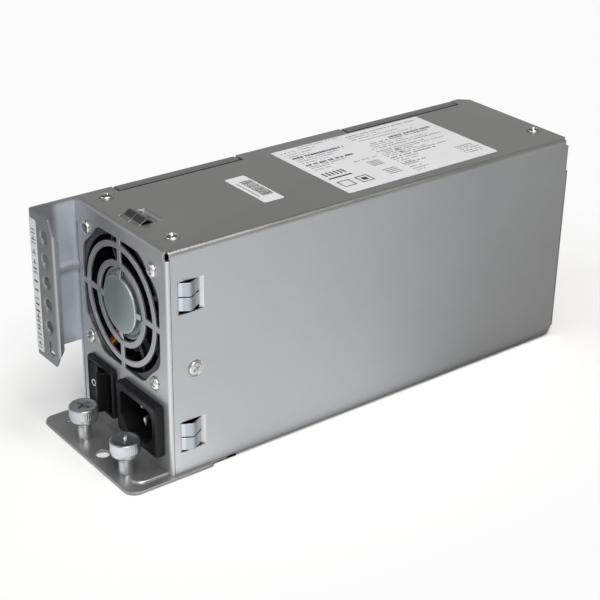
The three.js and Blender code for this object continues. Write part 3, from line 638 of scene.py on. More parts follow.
# bridge profiles: (y, height over the cover's face)
STRIP = [
    (5.15, -0.62), (5.6, -0.5), (6.1, -0.2), (7.6, 0.75), (9.0, 1.6), (9.7, 1.8),
    (10.5, 1.55), (12.0, 0.6), (13.6, -0.45), (14.6, -1.05), (15.2, -1.25), (15.75, -1.2),
]
FRONT_STEP = [(4.55, 0.0), (4.75, -0.03), (5.05, -0.4), (5.35, -0.62), (5.6, -0.62)]
REAR_STEP = [
    (15.35, -1.25), (15.7, -1.22), (16.0, -0.95), (16.7, -0.2), (16.95, -0.03), (17.2, 0.0),
]


def bent(profile, level):
    """Outline of a bent strip: the curve at its outer face, the sheet's thickness inside it."""
    path = spline(profile, 4)
    outer = [(y, level + height) for y, height in path]
    inner = []
    for i, (y, height) in enumerate(path):
        tangent = (path[min(len(path) - 1, i + 1)] - path[max(0, i - 1)]).normalized()
        inner.append((y + tangent.y * BRIDGE_SHEET, level + height - tangent.x * BRIDGE_SHEET))
    return outer + inner[::-1]


def bridge(axis, level, ends, low_gap=0.45, high_gap=0.45, slit=0.0):
    """Two strips with a slit between them, and the stepped ends they hang from."""
    low, high = ends
    middle = (low + high) / 2 + slit
    half_slit = 0.25
    runs = (
        (STRIP, low + low_gap, middle - half_slit),
        (STRIP, middle + half_slit, high - high_gap),
        (FRONT_STEP, low, high),
        (REAR_STEP, low, high),
    )
    parts = []
    for profile, start, end in runs:
        outline = bent(profile, level)
        if axis == "z":
            outline = [(x, y) for y, x in outline]
        parts.append(prism(axis, outline, start, end))
    return parts


def screw_seat(axis, centre, face, depth):
    """Cutter for the shallow pressed seat round a screw."""
    profile = [
        (0, face - depth), (3.3, face - depth), (3.75, face + 0.05), (3.75, face + 1), (0, face + 1),
    ]
    return lathe(axis, profile, 40, centre)


def build_cover():
    inner_x = CASE_WIDTH - SHEET
    section = fillet([
        (0, UNDER_TOP), (inner_x, UNDER_TOP, COVER_RADIUS - SHEET), (inner_x, BASE_SHEET),
        (CASE_WIDTH, BASE_SHEET), (CASE_WIDTH, TOP, COVER_RADIUS), (0, TOP),
    ], steps=12)
    cover = prism("y", section, COVER_FRONT, CASE_LENGTH)
    cover = cut(cover, [
        prism("z", rect(-1, 6.3, 17.9, 80.7, (0, 0.6, 0.6, 0)), 98, 102),
        prism("z", rect(-1, 6.3, 138.8, 207.8, (0, 0.6, 0.6, 0)), 98, 102),
        prism("z", [(-1, 211.5), (4.8, 218), (-1, 218)], 98, 102),
        prism("x", [(213.9, 0), (218, 0), (218, 4.9)], 68, 71),
        box(67.4, 71, 215.4, 218, 97.2, 102),
        *drill("z", TOP_SCREWS, SCREW_HOLE, 24, 98, 102),
        *[prism("x", rect(*BRIDGE_SLOT, *ends), 68, 72) for ends in SIDE_BRIDGES],
        prism("z", rect(*TOP_BRIDGE, *BRIDGE_SLOT), 98, 102),
    ])
    seats = [screw_seat("z", centre, TOP, 0.25) for centre in TOP_SCREWS]
    seats.append(screw_seat("x", SIDE_SCREW, CASE_WIDTH, 0.3))
    cover = cut(cover, seats)
    cover = cut(cover, drill("x", [SIDE_SCREW], SCREW_HOLE, 24, 68, 72))
    strips = bridge("z", CASE_WIDTH, SIDE_BRIDGES[0], low_gap=0.7, high_gap=1.1, slit=-0.3)
    strips += bridge("z", CASE_WIDTH, SIDE_BRIDGES[1], low_gap=1.5, high_gap=0.5, slit=0.4)
    strips += bridge("x", TOP, TOP_BRIDGE)
    return join([cover] + strips)


piece(build_cover(), "cover_sheet", "steel_cover", "wrap_cover", bevel=0.14)


# ------------------------------------------------------------------ front panel, pressed guard
SPOKE_HALF = 1.25       # half the width of a guard spoke
# joggled inner end of a spoke: (radius, y)
SPOKE_END = [
    (11.6, -0.62), (12.7, -0.6), (13.6, -0.42), (14.8, -0.05), (15.6, 0.0), (16.6, 0.0),
    (16.6, 1.0), (15.3, 0.98), (14.0, 0.68), (12.8, 0.36), (11.6, 0.33),
]
# outer edge of a corner window, from the fan's centre: (x, z)
WINDOW_EDGE = [
    (29.2, 12.4), (28.7, 15.4), (26.9, 18.2), (23.0, 21.3), (21.3, 23.0), (18.2, 26.6),
    (15.4, 28.4), (12.4, 28.8),
]


def guard_arc(radius, steps):
    """Quarter arc between two spokes."""
    first = math.asin(SPOKE_HALF / radius)
    return [
        polar((0, 0), radius, first + (pi / 2 - 2 * first) * i / steps) for i in range(steps + 1)
    ]


def guard_windows():
    edge = [(29.2, SPOKE_HALF), *cut_corners(WINDOW_EDGE, 3), (SPOKE_HALF, 28.8)]
    windows = (
        edge + guard_arc(26.6, 22)[::-1],
        guard_arc(24.1, 20) + guard_arc(18.6, 18)[::-1],
        guard_arc(16.0, 16) + guard_arc(11.0, 12)[::-1],
    )
    outlines = []
    for window in windows:
        for side_x, side_z in ((1, 1), (-1, 1), (-1, -1), (1, -1)):
            outline = [(FAN_X + side_x * x, FAN_Z + side_z * z) for x, z in window]
            outlines.append(outline[::-1] if side_x * side_z < 0 else outline)
    return outlines


def build_spoke_end(angle):
    points = [
        place("y", polar(FAN, radius, angle, across), y)
        for across in (-SPOKE_HALF, SPOKE_HALF)
        for radius, y in SPOKE_END
    ]
    return solid(points, caps(len(SPOKE_END), 2) + sides(len(SPOKE_END), 2))


def build_front():
    left_x, bend, fold, low = 1.02, 1.5, 1.56, BASE_SHEET
    right_x, inner = CASE_WIDTH, CASE_WIDTH - SHEET
    # right and upper edges fold back to the cover's front edge
    right = fillet([
        (60, 0), (right_x, 0, bend), (right_x, fold), (inner, fold), (inner, SHEET, 0.5), (60, SHEET),
    ], steps=10)
    upper = fillet([
        (0, 90), (0, TOP, bend), (fold, TOP), (fold, UNDER_TOP), (SHEET, UNDER_TOP, 0.5), (SHEET, 90),
    ], steps=10)
    left = fillet([
        (12, 0), (left_x, 0, bend), (left_x, 9), (left_x + SHEET, 9), (left_x + SHEET, SHEET, 0.5),
        (12, SHEET),
    ], steps=10)
    panel = add(
        prism("y", rect(11, 61, low, 91), 0.0, SHEET),
        prism("z", right, low, 97.1),
        prism("z", left, low, 97.1),
        prism("x", upper, left_x, 67.6),
    )
    panel = cut(panel, [
        *[prism("y", window, -2, 3) for window in guard_windows()],
        *drill("y", FAN_SCREWS, 2.1, 24, -2, 3),
        prism("y", centred(SWITCH, 9.75, 10.75, 0.3), -2, 3),
        prism("y", centred(INLET, 13.95, 10.4, 0.3), -2, 3),
    ])
    panel = cut(panel, [lathe("y", [(0, -1), (12.7, -1), (12.7, 2), (0, 2)], 72, FAN)])
    # dished centre disc, standing forward, with a rolled rim
    disc = lathe("y", fillet([
        (0, -0.8), (12.35, -0.8, 0.5), (12.35, 0.45, 0.3), (11.5, 0.45, 0.3), (11.3, 0.2, 0.2),
        (0, 0.2),
    ], steps=4), 96, FAN)
    spokes = [build_spoke_end(radians(90 * k)) for k in range(4)]
    # flanges inside the cover, with windows behind the bridges
    side = prism("x", rect(0.6, 16, low, 96.9), 67.98, 68.98)
    side = cut(side, [
        box(66, 70, 4.2, 18, 10.2, 25.7),
        box(66, 70, 4.2, 18, 72.2, 87.7),
        *drill("x", [SIDE_SCREW], SCREW_HOLE, 24, 66, 70),
    ])
    upper_flange = prism("z", rect(2.2, 66.4, 0.6, 16), 98.48, 99.48)
    upper_flange = cut(upper_flange, [
        box(26.6, 42.4, 4.2, 18, 95, 101),
        *drill("z", TOP_SCREWS[:2], SCREW_HOLE, 24, 95, 101),
    ])
    return join([panel, disc, side, upper_flange] + spokes)


piece(build_front(), "front_sheet", "steel_front", "front_panel", bevel=0.16)


# ------------------------------------------------------------------ left side, latching ear
EAR_LOW = 34.8
TOP_TABS = ((18.9, 79.3), (140.0, 206.8))                          # front and rear y
EAR_HOLES = [(12.3, z) for z in (91.5, 81.5, 71.5, 61.5, 51.5)]    # (x, z)


def build_left():
    sheet = prism("x", [
        (0, BASE_SHEET), (215, BASE_SHEET), (CASE_LENGTH, 3.7), (CASE_LENGTH, UNDER_TOP),
        (COVER_FRONT, UNDER_TOP), (COVER_FRONT, TOP), (-3, TOP), (-3, EAR_LOW), (0, EAR_LOW),
    ], 0, SHEET)
    ear = fillet([
        (0, -2.5), (0, EAR_FACE, 1.6), (19.2, EAR_FACE, 1.3), (19.2, -18.2), (18.2, -18.2),
        (18.2, -20, 0.4), (1, -20, 0.6), (1, -2.5),
    ], steps=8)
    sheet = add(sheet, prism("z", ear, EAR_LOW, TOP))
    # chamfered upper and lower right corners
    sheet = cut(sheet, [
        prism("y", [(15.87, 101.5), (19.63, 92.8), (22, 92.8), (22, 101.5)], -23, -15),
        prism("y", [(15.79, 33.8), (22, 33.8), (22, 41.5), (19.71, 41.5)], -23, -15),
    ])
    # the return lip fades out towards the two chamfers
    upper_fade = [(-20.0, 94.6), (-17.7, 90.6), (-15, 90.6), (-15, 97), (-20.0, 97)]
    lower_fade = [(-20.0, 39.9), (-20.0, 38), (-15, 38), (-15, 43.6), (-17.7, 43.6)]
    sheet = cut(sheet, [prism("x", upper_fade, 17.9, 21), prism("x", lower_fade, 17.9, 21)])
    hook = fillet([
        (11, 39.2, 0.3), (15.4, 39.2, 0.3), (15.4, 41.0, 0.3), (12.8, 41.0, 0.2), (12.8, 44.8, 0.3),
        (11, 44.8, 0.3),
    ], steps=3)
    holes = drill("y", EAR_HOLES, 2.75, 40, -23, -19)
    sheet = cut(sheet, holes + [prism("y", hook, -23, -19)])
    countersink = [(0, -21.3), (3.7, -21.3), (3.25, -20.85), (2.7, -20.6), (0, -20.6)]
    sheet = cut(sheet, [lathe("y", countersink, 48, centre) for centre in EAR_HOLES])
    # rib standing out of the side flange's inner face, rounded in section
    swell = [(1.0 + 1.1 * (0.5 - 0.5 * cos(2 * pi * i / 16)), 66.4 + 6.8 * i / 16) for i in range(17)]
    rib = prism("y", [(0.6, 66.2)] + swell + [(0.6, 73.4)], -20.4, 0.2)
    tab = fillet([
        (0.0, UNDER_TOP - 1.2), (0.0, TOP, 0.9), (5.6, TOP, 0.12), (5.6, UNDER_TOP),
        (SHEET, UNDER_TOP, 0.3), (SHEET, UNDER_TOP - 1.2),
    ], steps=6)
    return join([sheet, rib] + [prism("y", tab, *ends) for ends in TOP_TABS])


piece(build_left(), "side_sheet", "steel_ear", "left_side_plate", bevel=0.14)


# ------------------------------------------------------------------ base plate and tongue
def build_base():
    left, right, front, rear = -1.5, 71.5, -20.5, CASE_LENGTH
    outline = fillet([
        (left, front, 5), (right, front, 5), (right, 19.2, 0.6), (CASE_WIDTH, 20.6, 0.4),
        (CASE_WIDTH, rear - 4.5, 0.8), (68.5, rear, 0.8), (1.5, rear, 0.8), (0, rear - 4.5, 0.8),
        (0, 20.6, 0.4), (left, 19.2, 0.6),
    ])
    plate = cut(prism("z", outline, 0, BASE_SHEET), [
        *drill("z", [(x, KNOB_Y) for x in KNOB_XS], 3.1, 40, -1, 3),
        *drill("z", [(38.2, -13.6)], 3.0, 40, -1, 3),
        *drill("z", [(8, -13)], 0.9, 20, -1, 3),
    ])
    # behind the notches the underside slopes up to both side edges
    plate = cut(plate, [
        prism("y", [(66.4, -0.2), (72, -0.2), (72, 1.05), (69.9, 1.05)], 31.6, 220),
        prism("y", [(3.6, -0.2), (0.1, 1.05), (-2, 1.05), (-2, -0.2)], 31.6, 220),
    ])
    # raised bead on the tongue, tapering at its left end
    path = spline([
        (66.45, 1.0, 1.0), (66.45, -4, 1.0), (66.45, -9.0, 1.0), (66.1, -11.8, 1.0),
        (64.8, -13.6, 1.0), (62.9, -14.5, 1.0), (60.9, -14.75, 1.0),
    ], 6)
    count = len(path)
    radii = [0.98 * min(1.0, 0.25 + 3.0 * (count - 1 - k) / count) for k in range(count)]
    return join([plate, tube(path, radii, 16)])


weight_normals(
    piece(build_base(), "base_sheet", "steel_base", "base_plate", bevel=0.16)
)


# ------------------------------------------------------------------ rear panel
VENT_PITCH_X, VENT_PITCH_Z, VENT_ROWS = 19.2, 6.6, 6
VENT_HEIGHT = 3


def vent_row(low, front, back):
    """Cutters for three rounded slots side by side."""
    return [
        prism("y", rect(7 + shift, 23.2 + shift, low, low + VENT_HEIGHT, 1.45), front, back)
        for shift in (column * VENT_PITCH_X for column in range(3))
    ]


def build_rear():
    rear = CASE_LENGTH
    holes = [prism("y", rect(12.3, 57.7, 9.3, 28.9, 0.3), rear - 1, rear + 2)]
    for row in range(VENT_ROWS):
        holes += vent_row(41 + row * VENT_PITCH_Z, rear - 1, rear + 2)
    panel = prism("y", rect(0.8, 69.9, 4.3, 84.8, (0.8, 0.8, 0.3, 0.3)), rear, rear + SHEET)
    panel = cut(panel, holes)
    upper = prism("y", rect(1.3, 68.7, 83.8, 99.48, 0.3), rear - 1.3, rear - 0.3)
    upper = cut(upper, vent_row(88.5, rear - 3, rear + 2))
    shelf = box(1.3, 68.7, rear - 1.3, rear + 0.5, 83.8, 84.8)
    flange = prism("z", rect(6, 66, rear - 12, rear - 0.8, (1, 1, 0, 0)), 98.48, 99.48)
    flange = cut(flange, drill("z", TOP_SCREWS[2:], SCREW_HOLE, 24, 97, 101))
    panel = join([panel, upper, shelf, flange])
    row_middles = [42.5 + VENT_PITCH_Z * row for row in range(VENT_ROWS)]
    panel = split_at(panel, "z", [19.1, 35] + row_middles + [90])
    return split_at(panel, "x", [15.1 + VENT_PITCH_X / 2 * i for i in range(5)])


piece(build_rear(), "rear_sheet", "steel_dark", "rear_panel", bevel=0.14)


# ------------------------------------------------------------------ screws
def recess(axis, centre, level, outward, arm, half, depth, turn):
    """Tapered cross recess, opening in the direction outward (+1 or -1) of the axis."""
    rings = []
    # height over the level, then factors on the arm length and the half width
    for height, longer, wider in ((0.6, 1.08, 1.35), (-0.35 * depth, 1, 1), (-depth, 0.42, 0.75)):
        far, near = arm * longer, half * wider
        cross = (
            (far, -near), (far, near), (near, near), (near, far), (-near, far), (-near, near),
            (-far, near), (-far, -near), (-near, -near), (-near, -far), (near, -far), (near, -near),
        )
        outline = [polar(centre, x, radians(turn), y) for x, y in cross]
        rings.append((outline, level + outward * height))
    return loft(axis, rings)


def pan_head(axis, centre, level, outward, height, shank, length, turn):
    """Pan-head screw with a domed crown, rounded rim and a cross recess."""
    radius, spread = 3.0, radians(70)
    profile = [(0, height)]    # (radius, height over the seat)
    for i in range(1, 9):
        angle = i / 8 * spread
        drop = (height * 0.42) * (1 - cos(angle)) / (1 - cos(spread))
        profile.append((radius * 0.93 * sin(angle) / sin(spread), height - drop))
    profile += [
        (radius * 0.975, height * 0.45), (radius, height * 0.28), (radius, 0.05),
        (radius * 0.97, 0), (shank, 0), (shank, 0.6 - length), (shank * 0.6, -length), (0, -length),
    ]
    head = lathe(axis, [(r, level + outward * h) for r, h in profile], 40, centre)
    return cut(head, [recess(
        axis, centre, level + outward * height, outward,
        arm=radius * 0.56, half=radius * 0.13, depth=height * 0.85, turn=turn,
    )])


def add_screws(rows, **size):
    """Rows are (CAD name, centre, turn of the recess in degrees)."""
    for name, centre, turn in rows:
        head = pan_head(centre=centre, turn=turn, **size)
        piece(head, f"{name}_head", "screw_steel", name, bevel=0.07, angle=35)


lower_left, upper_left, lower_right, upper_right = FAN_SCREWS
add_screws([
    ("fan_screw_upper_left", upper_left, 18),
    ("fan_screw_upper_right", upper_right, 57),
    ("fan_screw_lower_left", lower_left, 8),
    ("fan_screw_lower_right", lower_right, 71),
], axis="y", level=0.0, outward=-1, height=1.7, shank=1.5, length=8.0)
add_screws([
    ("top_screw_front_left", TOP_SCREWS[0], 24),
    ("top_screw_front_right", TOP_SCREWS[1], 62),
    ("top_screw_rear", TOP_SCREWS[2], 40),
], axis="z", level=TOP - 0.22, outward=1, height=1.3, shank=1.3, length=4.6)
add_screws([
    ("side_screw", SIDE_SCREW, 33),
], axis="x", level=CASE_WIDTH - 0.25, outward=1, height=1.2, shank=1.3, length=4.6)


# ------------------------------------------------------------------ captive thumbscrews
KNURL_TEETH, STEPS_PER_TOOTH = 40, 4
# (radius, z): the pin, then the hollow that lets the knob slide over the sleeve, then the neck
KNOB_LOWER = [
    (0.9, 0.6), (1.5, 0.6), (1.85, 1.0), (1.85, 6.1), (1.45, 6.2), (1.45, 7.1), (1.85, 7.2),
    (1.85, 7.5), (1.85, 13.7), (2.0, 13.82), (3.4, 13.82), (3.52, 13.7), (3.52, 8.9),
    (3.66, 8.74), (4.05, 8.8), (4.3, 9.05),
]
# (radius, z), a closed section
SLEEVE = [
    (2.55, 0.0), (2.95, 0.0), (2.95, 1.2), (3.25, 1.25), (3.3, 1.6), (3.12, 2.0), (3.1, 6.8),
    (3.2, 7.6), (3.35, 8.0), (3.3, 8.35), (3.05, 8.5), (2.2, 8.5), (2.1, 8.35), (2.1, 7.4),
    (2.55, 7.25),
]


def knob_ring(centre, radius, depth):
    """Ring with knurl grooves of the given depth."""
    count = KNURL_TEETH * STEPS_PER_TOOTH
    outline = []
    for i in range(count):
        groove = 0.5 - 0.5 * cos(2 * pi * KNURL_TEETH * i / count)
        outline.append(polar(centre, radius - depth * groove, 2 * pi * i / count))
    return outline


def build_knob(centre, turn):
    grip, knurl, crown = 6.25, 0.16, 16.36
    profile = list(KNOB_LOWER)
    # rounded shoulder from the neck out to the grip
    for i in range(1, 8):
        angle = radians(90) * i / 8
        profile.append((4.3 + 1.85 * sin(angle), 9.05 + 2.35 * (1 - cos(angle))))
    profile += [(6.2, 11.7), (grip, 11.85), (grip, 12.1, knurl), (grip, 15.5, knurl), (grip, 15.75)]
    for i in range(1, 5):
        angle = radians(90) * i / 4
        profile.append((5.7 + 0.55 * cos(angle), 15.95 + 0.55 * sin(angle)))
    profile += [(5.2, 16.5), (4.9, crown), (2.4, crown)]
    knob = loft("z", [
        (knob_ring(centre, radius, *depth or (0.0,)), z) for radius, z, *depth in profile
    ])
    return cut(knob, [recess("z", centre, crown, 1, arm=3.1, half=0.55, depth=2.1, turn=turn)])


for side, x, turn in (("left", KNOB_XS[0], 20), ("right", KNOB_XS[1], 52)):
    piece(build_knob((x, KNOB_Y), turn), f"thumbscrew_{side}_knob", "nickel",
          f"thumbscrew_{side}", body=f"{side}_thumbscrew", angle=40)
    piece(lathe("z", SLEEVE, 64, (x, KNOB_Y), loop=True), f"thumbscrew_{side}_sleeve", "nickel",
          f"thumbscrew_ferrule_{side}", angle=50)


# ------------------------------------------------------------------ fan
FAN_HALF = 30.0
FAN_FRONT, FAN_BACK = 1.0, 26.0
STRUT_STEPS = 7
BLADES, SPAN_STEPS, CHORD_STEPS = 7, 10, 16


def build_strut(angle):
    """Slightly bowed arm from the motor plate out to the frame."""
    # (y, across)
    section = fillet([(3.4, -1.25, 0.4), (3.4, 1.25, 0.4), (5.4, 1.0, 0.4), (5.4, -1.0, 0.4)], 3)
    points = []
    for i in range(STRUT_STEPS + 1):
        radius = 15.2 + (29.0 - 15.2) * i / STRUT_STEPS
        bowed = angle + 0.10 * sin(pi * i / STRUT_STEPS)
        points += [place("y", polar(FAN, radius, bowed, across), y) for y, across in section]
    count, rings = len(section), STRUT_STEPS + 1
    return solid(points, caps(count, rings) + sides(count, rings))


def build_fan_frame():
    front, back = FAN_FRONT, FAN_BACK
    frame = prism("y", centred(FAN, FAN_HALF, FAN_HALF, 4), front, back)
    bore = lathe("y", [
        (0, front - 1), (29.3, front - 1), (28.9, front + 0.7), (28.6, front + 2.5),
        (28.6, back - 3), (29.1, back - 1), (29.6, back + 1), (0, back + 1),
    ], 128, FAN)
    frame = cut(frame, [bore] + drill("y", FAN_SCREWS, 2.1, 20, front - 1, back + 1))
    # open corners between the front and rear flanges
    frame = cut(frame, [
        box(
            *sorted((FAN_X + side_x * 21.4, FAN_X + side_x * 31)), front + 5, back - 5,
            *sorted((FAN_Z + side_z * 21.4, FAN_Z + side_z * 31)),
        )
        for side_x in (1, -1) for side_z in (1, -1)
    ])
    motor_plate = lathe("y", fillet([
        (0, 1.95), (15.5, 1.95), (15.5, 1.8), (16.1, 1.8, 0.25), (16.1, 5.2, 0.3), (0, 5.2),
    ], steps=4), 96, FAN)
    bearing_tube = lathe("y", [(1.7, 4.0), (3.5, 4.0), (3.5, 19), (1.7, 19)], 32, FAN, loop=True)
    struts = [build_strut(radians(degrees)) for degrees in (20, 110, 200, 290)]
    return join([frame, motor_plate, bearing_tube] + struts)


def blade_point(number, side, i, j):
    """Point on one side of a blade, at step i along its span and j along its chord."""
    radius = 14.2 + (27.4 - 14.2) * i / SPAN_STEPS
    along = j / CHORD_STEPS - 0.5
    # thick near the front edge, fine at the rear edge
    edge = math.sqrt(max(0.0, 1 - (2 * abs(along)) ** 3))
    offset = side * 0.5 * (1.15 * edge * (1.1 - 0.5 * (along + 0.5)) + 0.12)
    chord = 0.86 + 0.14 * cos((radius - 20.8) / 6.6 * 1.2)
    camber = (along * 13.5 * chord + (0.25 - along * along) * 5.0) / radius
    sweep = camber + (radius - 14) * 0.012 + 0.05 * ((radius - 14) / 13.4) ** 2
    angle = number / BLADES * 2 * pi + sweep + offset / radius
    return place("y", polar(FAN, radius, angle), 15.6 + along * 15 * chord)


def build_blade(number):
    points = [
        blade_point(number, side, i, j)
        for side in (1, -1)
        for i in range(SPAN_STEPS + 1)
        for j in range(CHORD_STEPS + 1)
    ]

    def at(side, i, j):
        return (side * (SPAN_STEPS + 1) + i) * (CHORD_STEPS + 1) + j

    faces = []
    for i in range(SPAN_STEPS):
        for j in range(CHORD_STEPS):
            faces.append([at(0, i, j), at(0, i, j + 1), at(0, i + 1, j + 1), at(0, i + 1, j)])
            faces.append([at(1, i, j), at(1, i + 1, j), at(1, i + 1, j + 1), at(1, i, j + 1)])
    j = CHORD_STEPS
    for i in range(SPAN_STEPS):
        faces.append([at(0, i, 0), at(0, i + 1, 0), at(1, i + 1, 0), at(1, i, 0)])
        faces.append([at(0, i, j), at(1, i, j), at(1, i + 1, j), at(0, i + 1, j)])
    i = SPAN_STEPS
    for j in range(CHORD_STEPS):
        faces.append([at(0, 0, j), at(1, 0, j), at(1, 0, j + 1), at(0, 0, j + 1)])
        faces.append([at(0, i, j), at(0, i, j + 1), at(1, i, j + 1), at(1, i, j)])
    return solid(points, faces)


def build_impeller():
    hub = lathe("y", fillet([
        (0, 6.0), (1.5, 6.0), (1.5, 23), (12.9, 23), (12.9, 6.6), (14.6, 6.6, 0.3),
        (14.6, 25.2, 1.0), (0, 25.2),
    ], steps=5), 96, FAN)
    return join([hub] + [build_blade(number) for number in range(BLADES)])


def build_hub_print():
    """Dashes along three arcs of the hub sticker."""
    rng = random.Random(3)
    dashes = []
    # first and last angle in degrees, radius
    for angle, last, radius in ((98, 152, 13.9), (278, 330, 13.9), (196, 214, 14.2)):
        while angle < last:
            width, height = rng.uniform(0.35, 0.75), rng.uniform(0.8, 1.3)
            dash = [
                polar(FAN, radius + out, radians(angle), across)
                for out, across in rect(-height / 2, height / 2, -width / 2, width / 2)
            ]
            dashes.append(prism("y", dash, 1.775, 1.805))
            angle += rng.uniform(3.2, 5.0)
    return join(dashes)


def build_lead(number):
    """Lead from the motor plate, down behind the front panel and back into the case."""
    shift = (number - 1) * 1.6
    start_x, start_z = polar(FAN, 16.8, radians(240 + 6.4 * number))
    x = 19.7 + shift
    path = spline([
        (start_x, 4.2, start_z), (FAN_X - 11 + 0.58 * shift, 4.2, FAN_Z - 21 - 0.88 * shift),
        (x, 4.2, FAN_Z - 25.2 - 0.2 * shift), (x, 4.5, 36.4), (x, 6.8, 33.6), (x, 14, 33.4),
        (x, 27, 33.4), (x, 33, 31), (x, 36, 22), (x, 36.6, 11.2),
    ], 7)
    return tube(path, [0.68] * len(path), 14)


piece(build_fan_frame(), "fan_housing", "fan_plastic", "fan_frame",
      bevel=0.2, angle=35)
piece(build_impeller(), "fan_rotor", "impeller_plastic", "fan_impeller",
      body="impeller", angle=42)
HUB_STICKER = [(0, 1.8), (15.2, 1.8), (15.35, 1.83), (15.35, 1.95), (0, 1.95)]    # (radius, y)
piece(lathe("y", HUB_STICKER, 96, FAN), "fan_hub_sticker", "hub_label",
      "fan_hub_label", angle=40)
piece(build_hub_print(), "hub_print", "ink", merge=0.0005)
for number, colour in enumerate(("red", "yellow", "black")):
    piece(build_lead(number), f"fan_wire_{colour}", f"{colour}_wire",
          f"fan_lead_{colour}", angle=50)


# ------------------------------------------------------------------ rocker switch
def build_housing(centre, half_size, corner, bezel, body_half, body_back):
    """Bezel on the panel from (inset, y) rings, and the body behind it."""
    x, z = centre
    half_width, half_height = half_size
    rings = [
        (centred(centre, half_width - inset, half_height - inset, corner), y)
        for inset, y in bezel
    ]
    wide, tall = body_half
    return add(loft("y", rings), box(x - wide, x + wide, -0.5, body_back, z - tall, z + tall))


def build_switch_body():
    x, z = SWITCH
    bezel = ((0, -0.02), (0, -1.7), (0.25, -2.2), (0.7, -2.5))
    body = build_housing(SWITCH, (10.4, 11.5), 1.2, bezel, body_half=(9.6, 10.6), body_back=17)
    body = cut(body, [prism("y", centred(SWITCH, 9.45, 9.5, 0.5), -10, 9.5)])
    terminals = [box(x - 0.4, x + 0.4, 16, 25, z + low, z + low + 5) for low in (2.5, -7.5)]
    return join([body] + terminals)


ROCKER_TILT = radians(-15)
ROCKER_PIVOT = (SWITCH[0], 5.2)    # (x, y)
MARK_Z = SWITCH[1] - 0.6
MARK_LIFTS = (-0.05, 0.05)         # under and over the rocker's face


def rocker_point(across, depth):
    return polar(ROCKER_PIVOT, across, ROCKER_TILT, depth)


def face_depth(across):
    """Hollowed front face of the rocker."""
    return -7.9 - 2.3 * (abs(across) / 6.9) ** 1.6


def on_face(across, z, lift):
    return (*rocker_point(across, face_depth(across) - lift), z)


def build_rocker():
    # (across, depth) before the tilt
    profile = [(-8.0, -1.0), (-7.95, -4.4), (-7.45, -9.2), (-7.25, -10.0)]
    stations = [-6.7 + 13.4 * i / 22 for i in range(23)]
    profile += [(across, face_depth(across)) for across in stations]
    profile += [(7.25, -10.0), (7.45, -9.2), (7.95, -4.4), (8.0, -1.0), (3, 2.6), (-3, 2.6)]
    outline = [rocker_point(*point) for point in profile]
    return prism("z", outline, SWITCH[1] - 9.2, SWITCH[1] + 9.2)


def build_ring_mark(across, inner, outer, steps=40):
    points = []
    for lift in MARK_LIFTS:
        for radius in (inner, outer):
            for i in range(steps):
                angle = 2 * pi * i / steps
                z = MARK_Z + radius * sin(angle) * 1.12
                points.append(on_face(across + radius * cos(angle), z, lift))
    faces = []
    for i in range(steps):
        j = (i + 1) % steps
        # the four rings' points at this step and at the next
        a0, b0, c0, d0 = (ring * steps + i for ring in range(4))
        a1, b1, c1, d1 = (ring * steps + j for ring in range(4))
        faces += [[a0, a1, b1, b0], [c0, d0, d1, c1], [a0, c0, c1, a1], [b0, b1, d1, d0]]
    return solid(points, faces)


def build_bar_mark(across, width, height):
    corners = rect(-width / 2, width / 2, -height / 2, height / 2)
    points = [on_face(across + x, MARK_Z + z, lift) for lift in MARK_LIFTS for x, z in corners]
    faces = [[0, 1, 2, 3], [4, 7, 6, 5], [0, 4, 5, 1], [1, 5, 6, 2], [2, 6, 7, 3], [3, 7, 4, 0]]
    return solid(points, faces)


piece(build_switch_body(), "switch_housing", "black_plastic", "switch_body",
      bevel=0.065)
piece(build_rocker(), "rocker_cap", "rocker_plastic", "switch_rocker",
      body="rocker", bevel=0.35, segments=3, angle=25)
piece(join([build_ring_mark(-3.4, 0.95, 1.45), build_bar_mark(3.6, 0.5, 2.9)]),
      "rocker_marks", "mark_white", body="rocker")


# ------------------------------------------------------------------ mains inlet
# name, centre, y of the blade's front end
INLET_PINS = (
    ("line", (INLET[0] + 7, INLET[1] + 1.5), 2.6),
    ("neutral", (INLET[0] - 7, INLET[1] + 1.5), 2.6),
    ("earth", (INLET[0], INLET[1] - 2.5), 0.0),
)


def build_inlet():
    x, z = INLET
    bezel = ((0, -0.02), (0, -3.3), (0.2, -3.75), (0.55, -4.0))
    body = build_housing(INLET, (15.25, 11.75), 1.5, bezel, body_half=(13.8, 10.2), body_back=15)
    wide, tall, chamfer = 12.25, 8.5, 5.2
    cavity = fillet([
        (x - wide + chamfer, z - tall, 1), (x + wide - chamfer, z - tall, 1),
        (x + wide, z - tall + chamfer, 1), (x + wide, z + tall, 3.6),
        (x - wide, z + tall, 2.4), (x - wide, z - tall + chamfer, 1),
    ], steps=5)
    body = cut(body, [prism("y", cavity, -5.0, 11.0)])
    return cut(body, [
        prism("y", centred(centre, 1.02, 2.02), 5, 20) for _, centre, _ in INLET_PINS
    ])


def build_inlet_blade(centre, tip):
    # half width, half height, y
    stations = (
        (0.45, 1.1, tip), (0.8, 1.75, tip + 0.35), (1.0, 2.0, tip + 1.2), (1.0, 2.0, 15.0),
        (0.4, 2.0, 15.02), (0.4, 2.0, 23.0),
    )
    return loft("y", [(centred(centre, wide, tall), y) for wide, tall, y in stations])


piece(build_inlet(), "inlet_housing", "black_plastic", "inlet_body",
      bevel=0.2, segments=3)
for name, centre, tip in INLET_PINS:
    piece(build_inlet_blade(centre, tip), f"inlet_{name}_blade", "pin_nickel",
          f"inlet_pin_{name}", bevel=0.12)


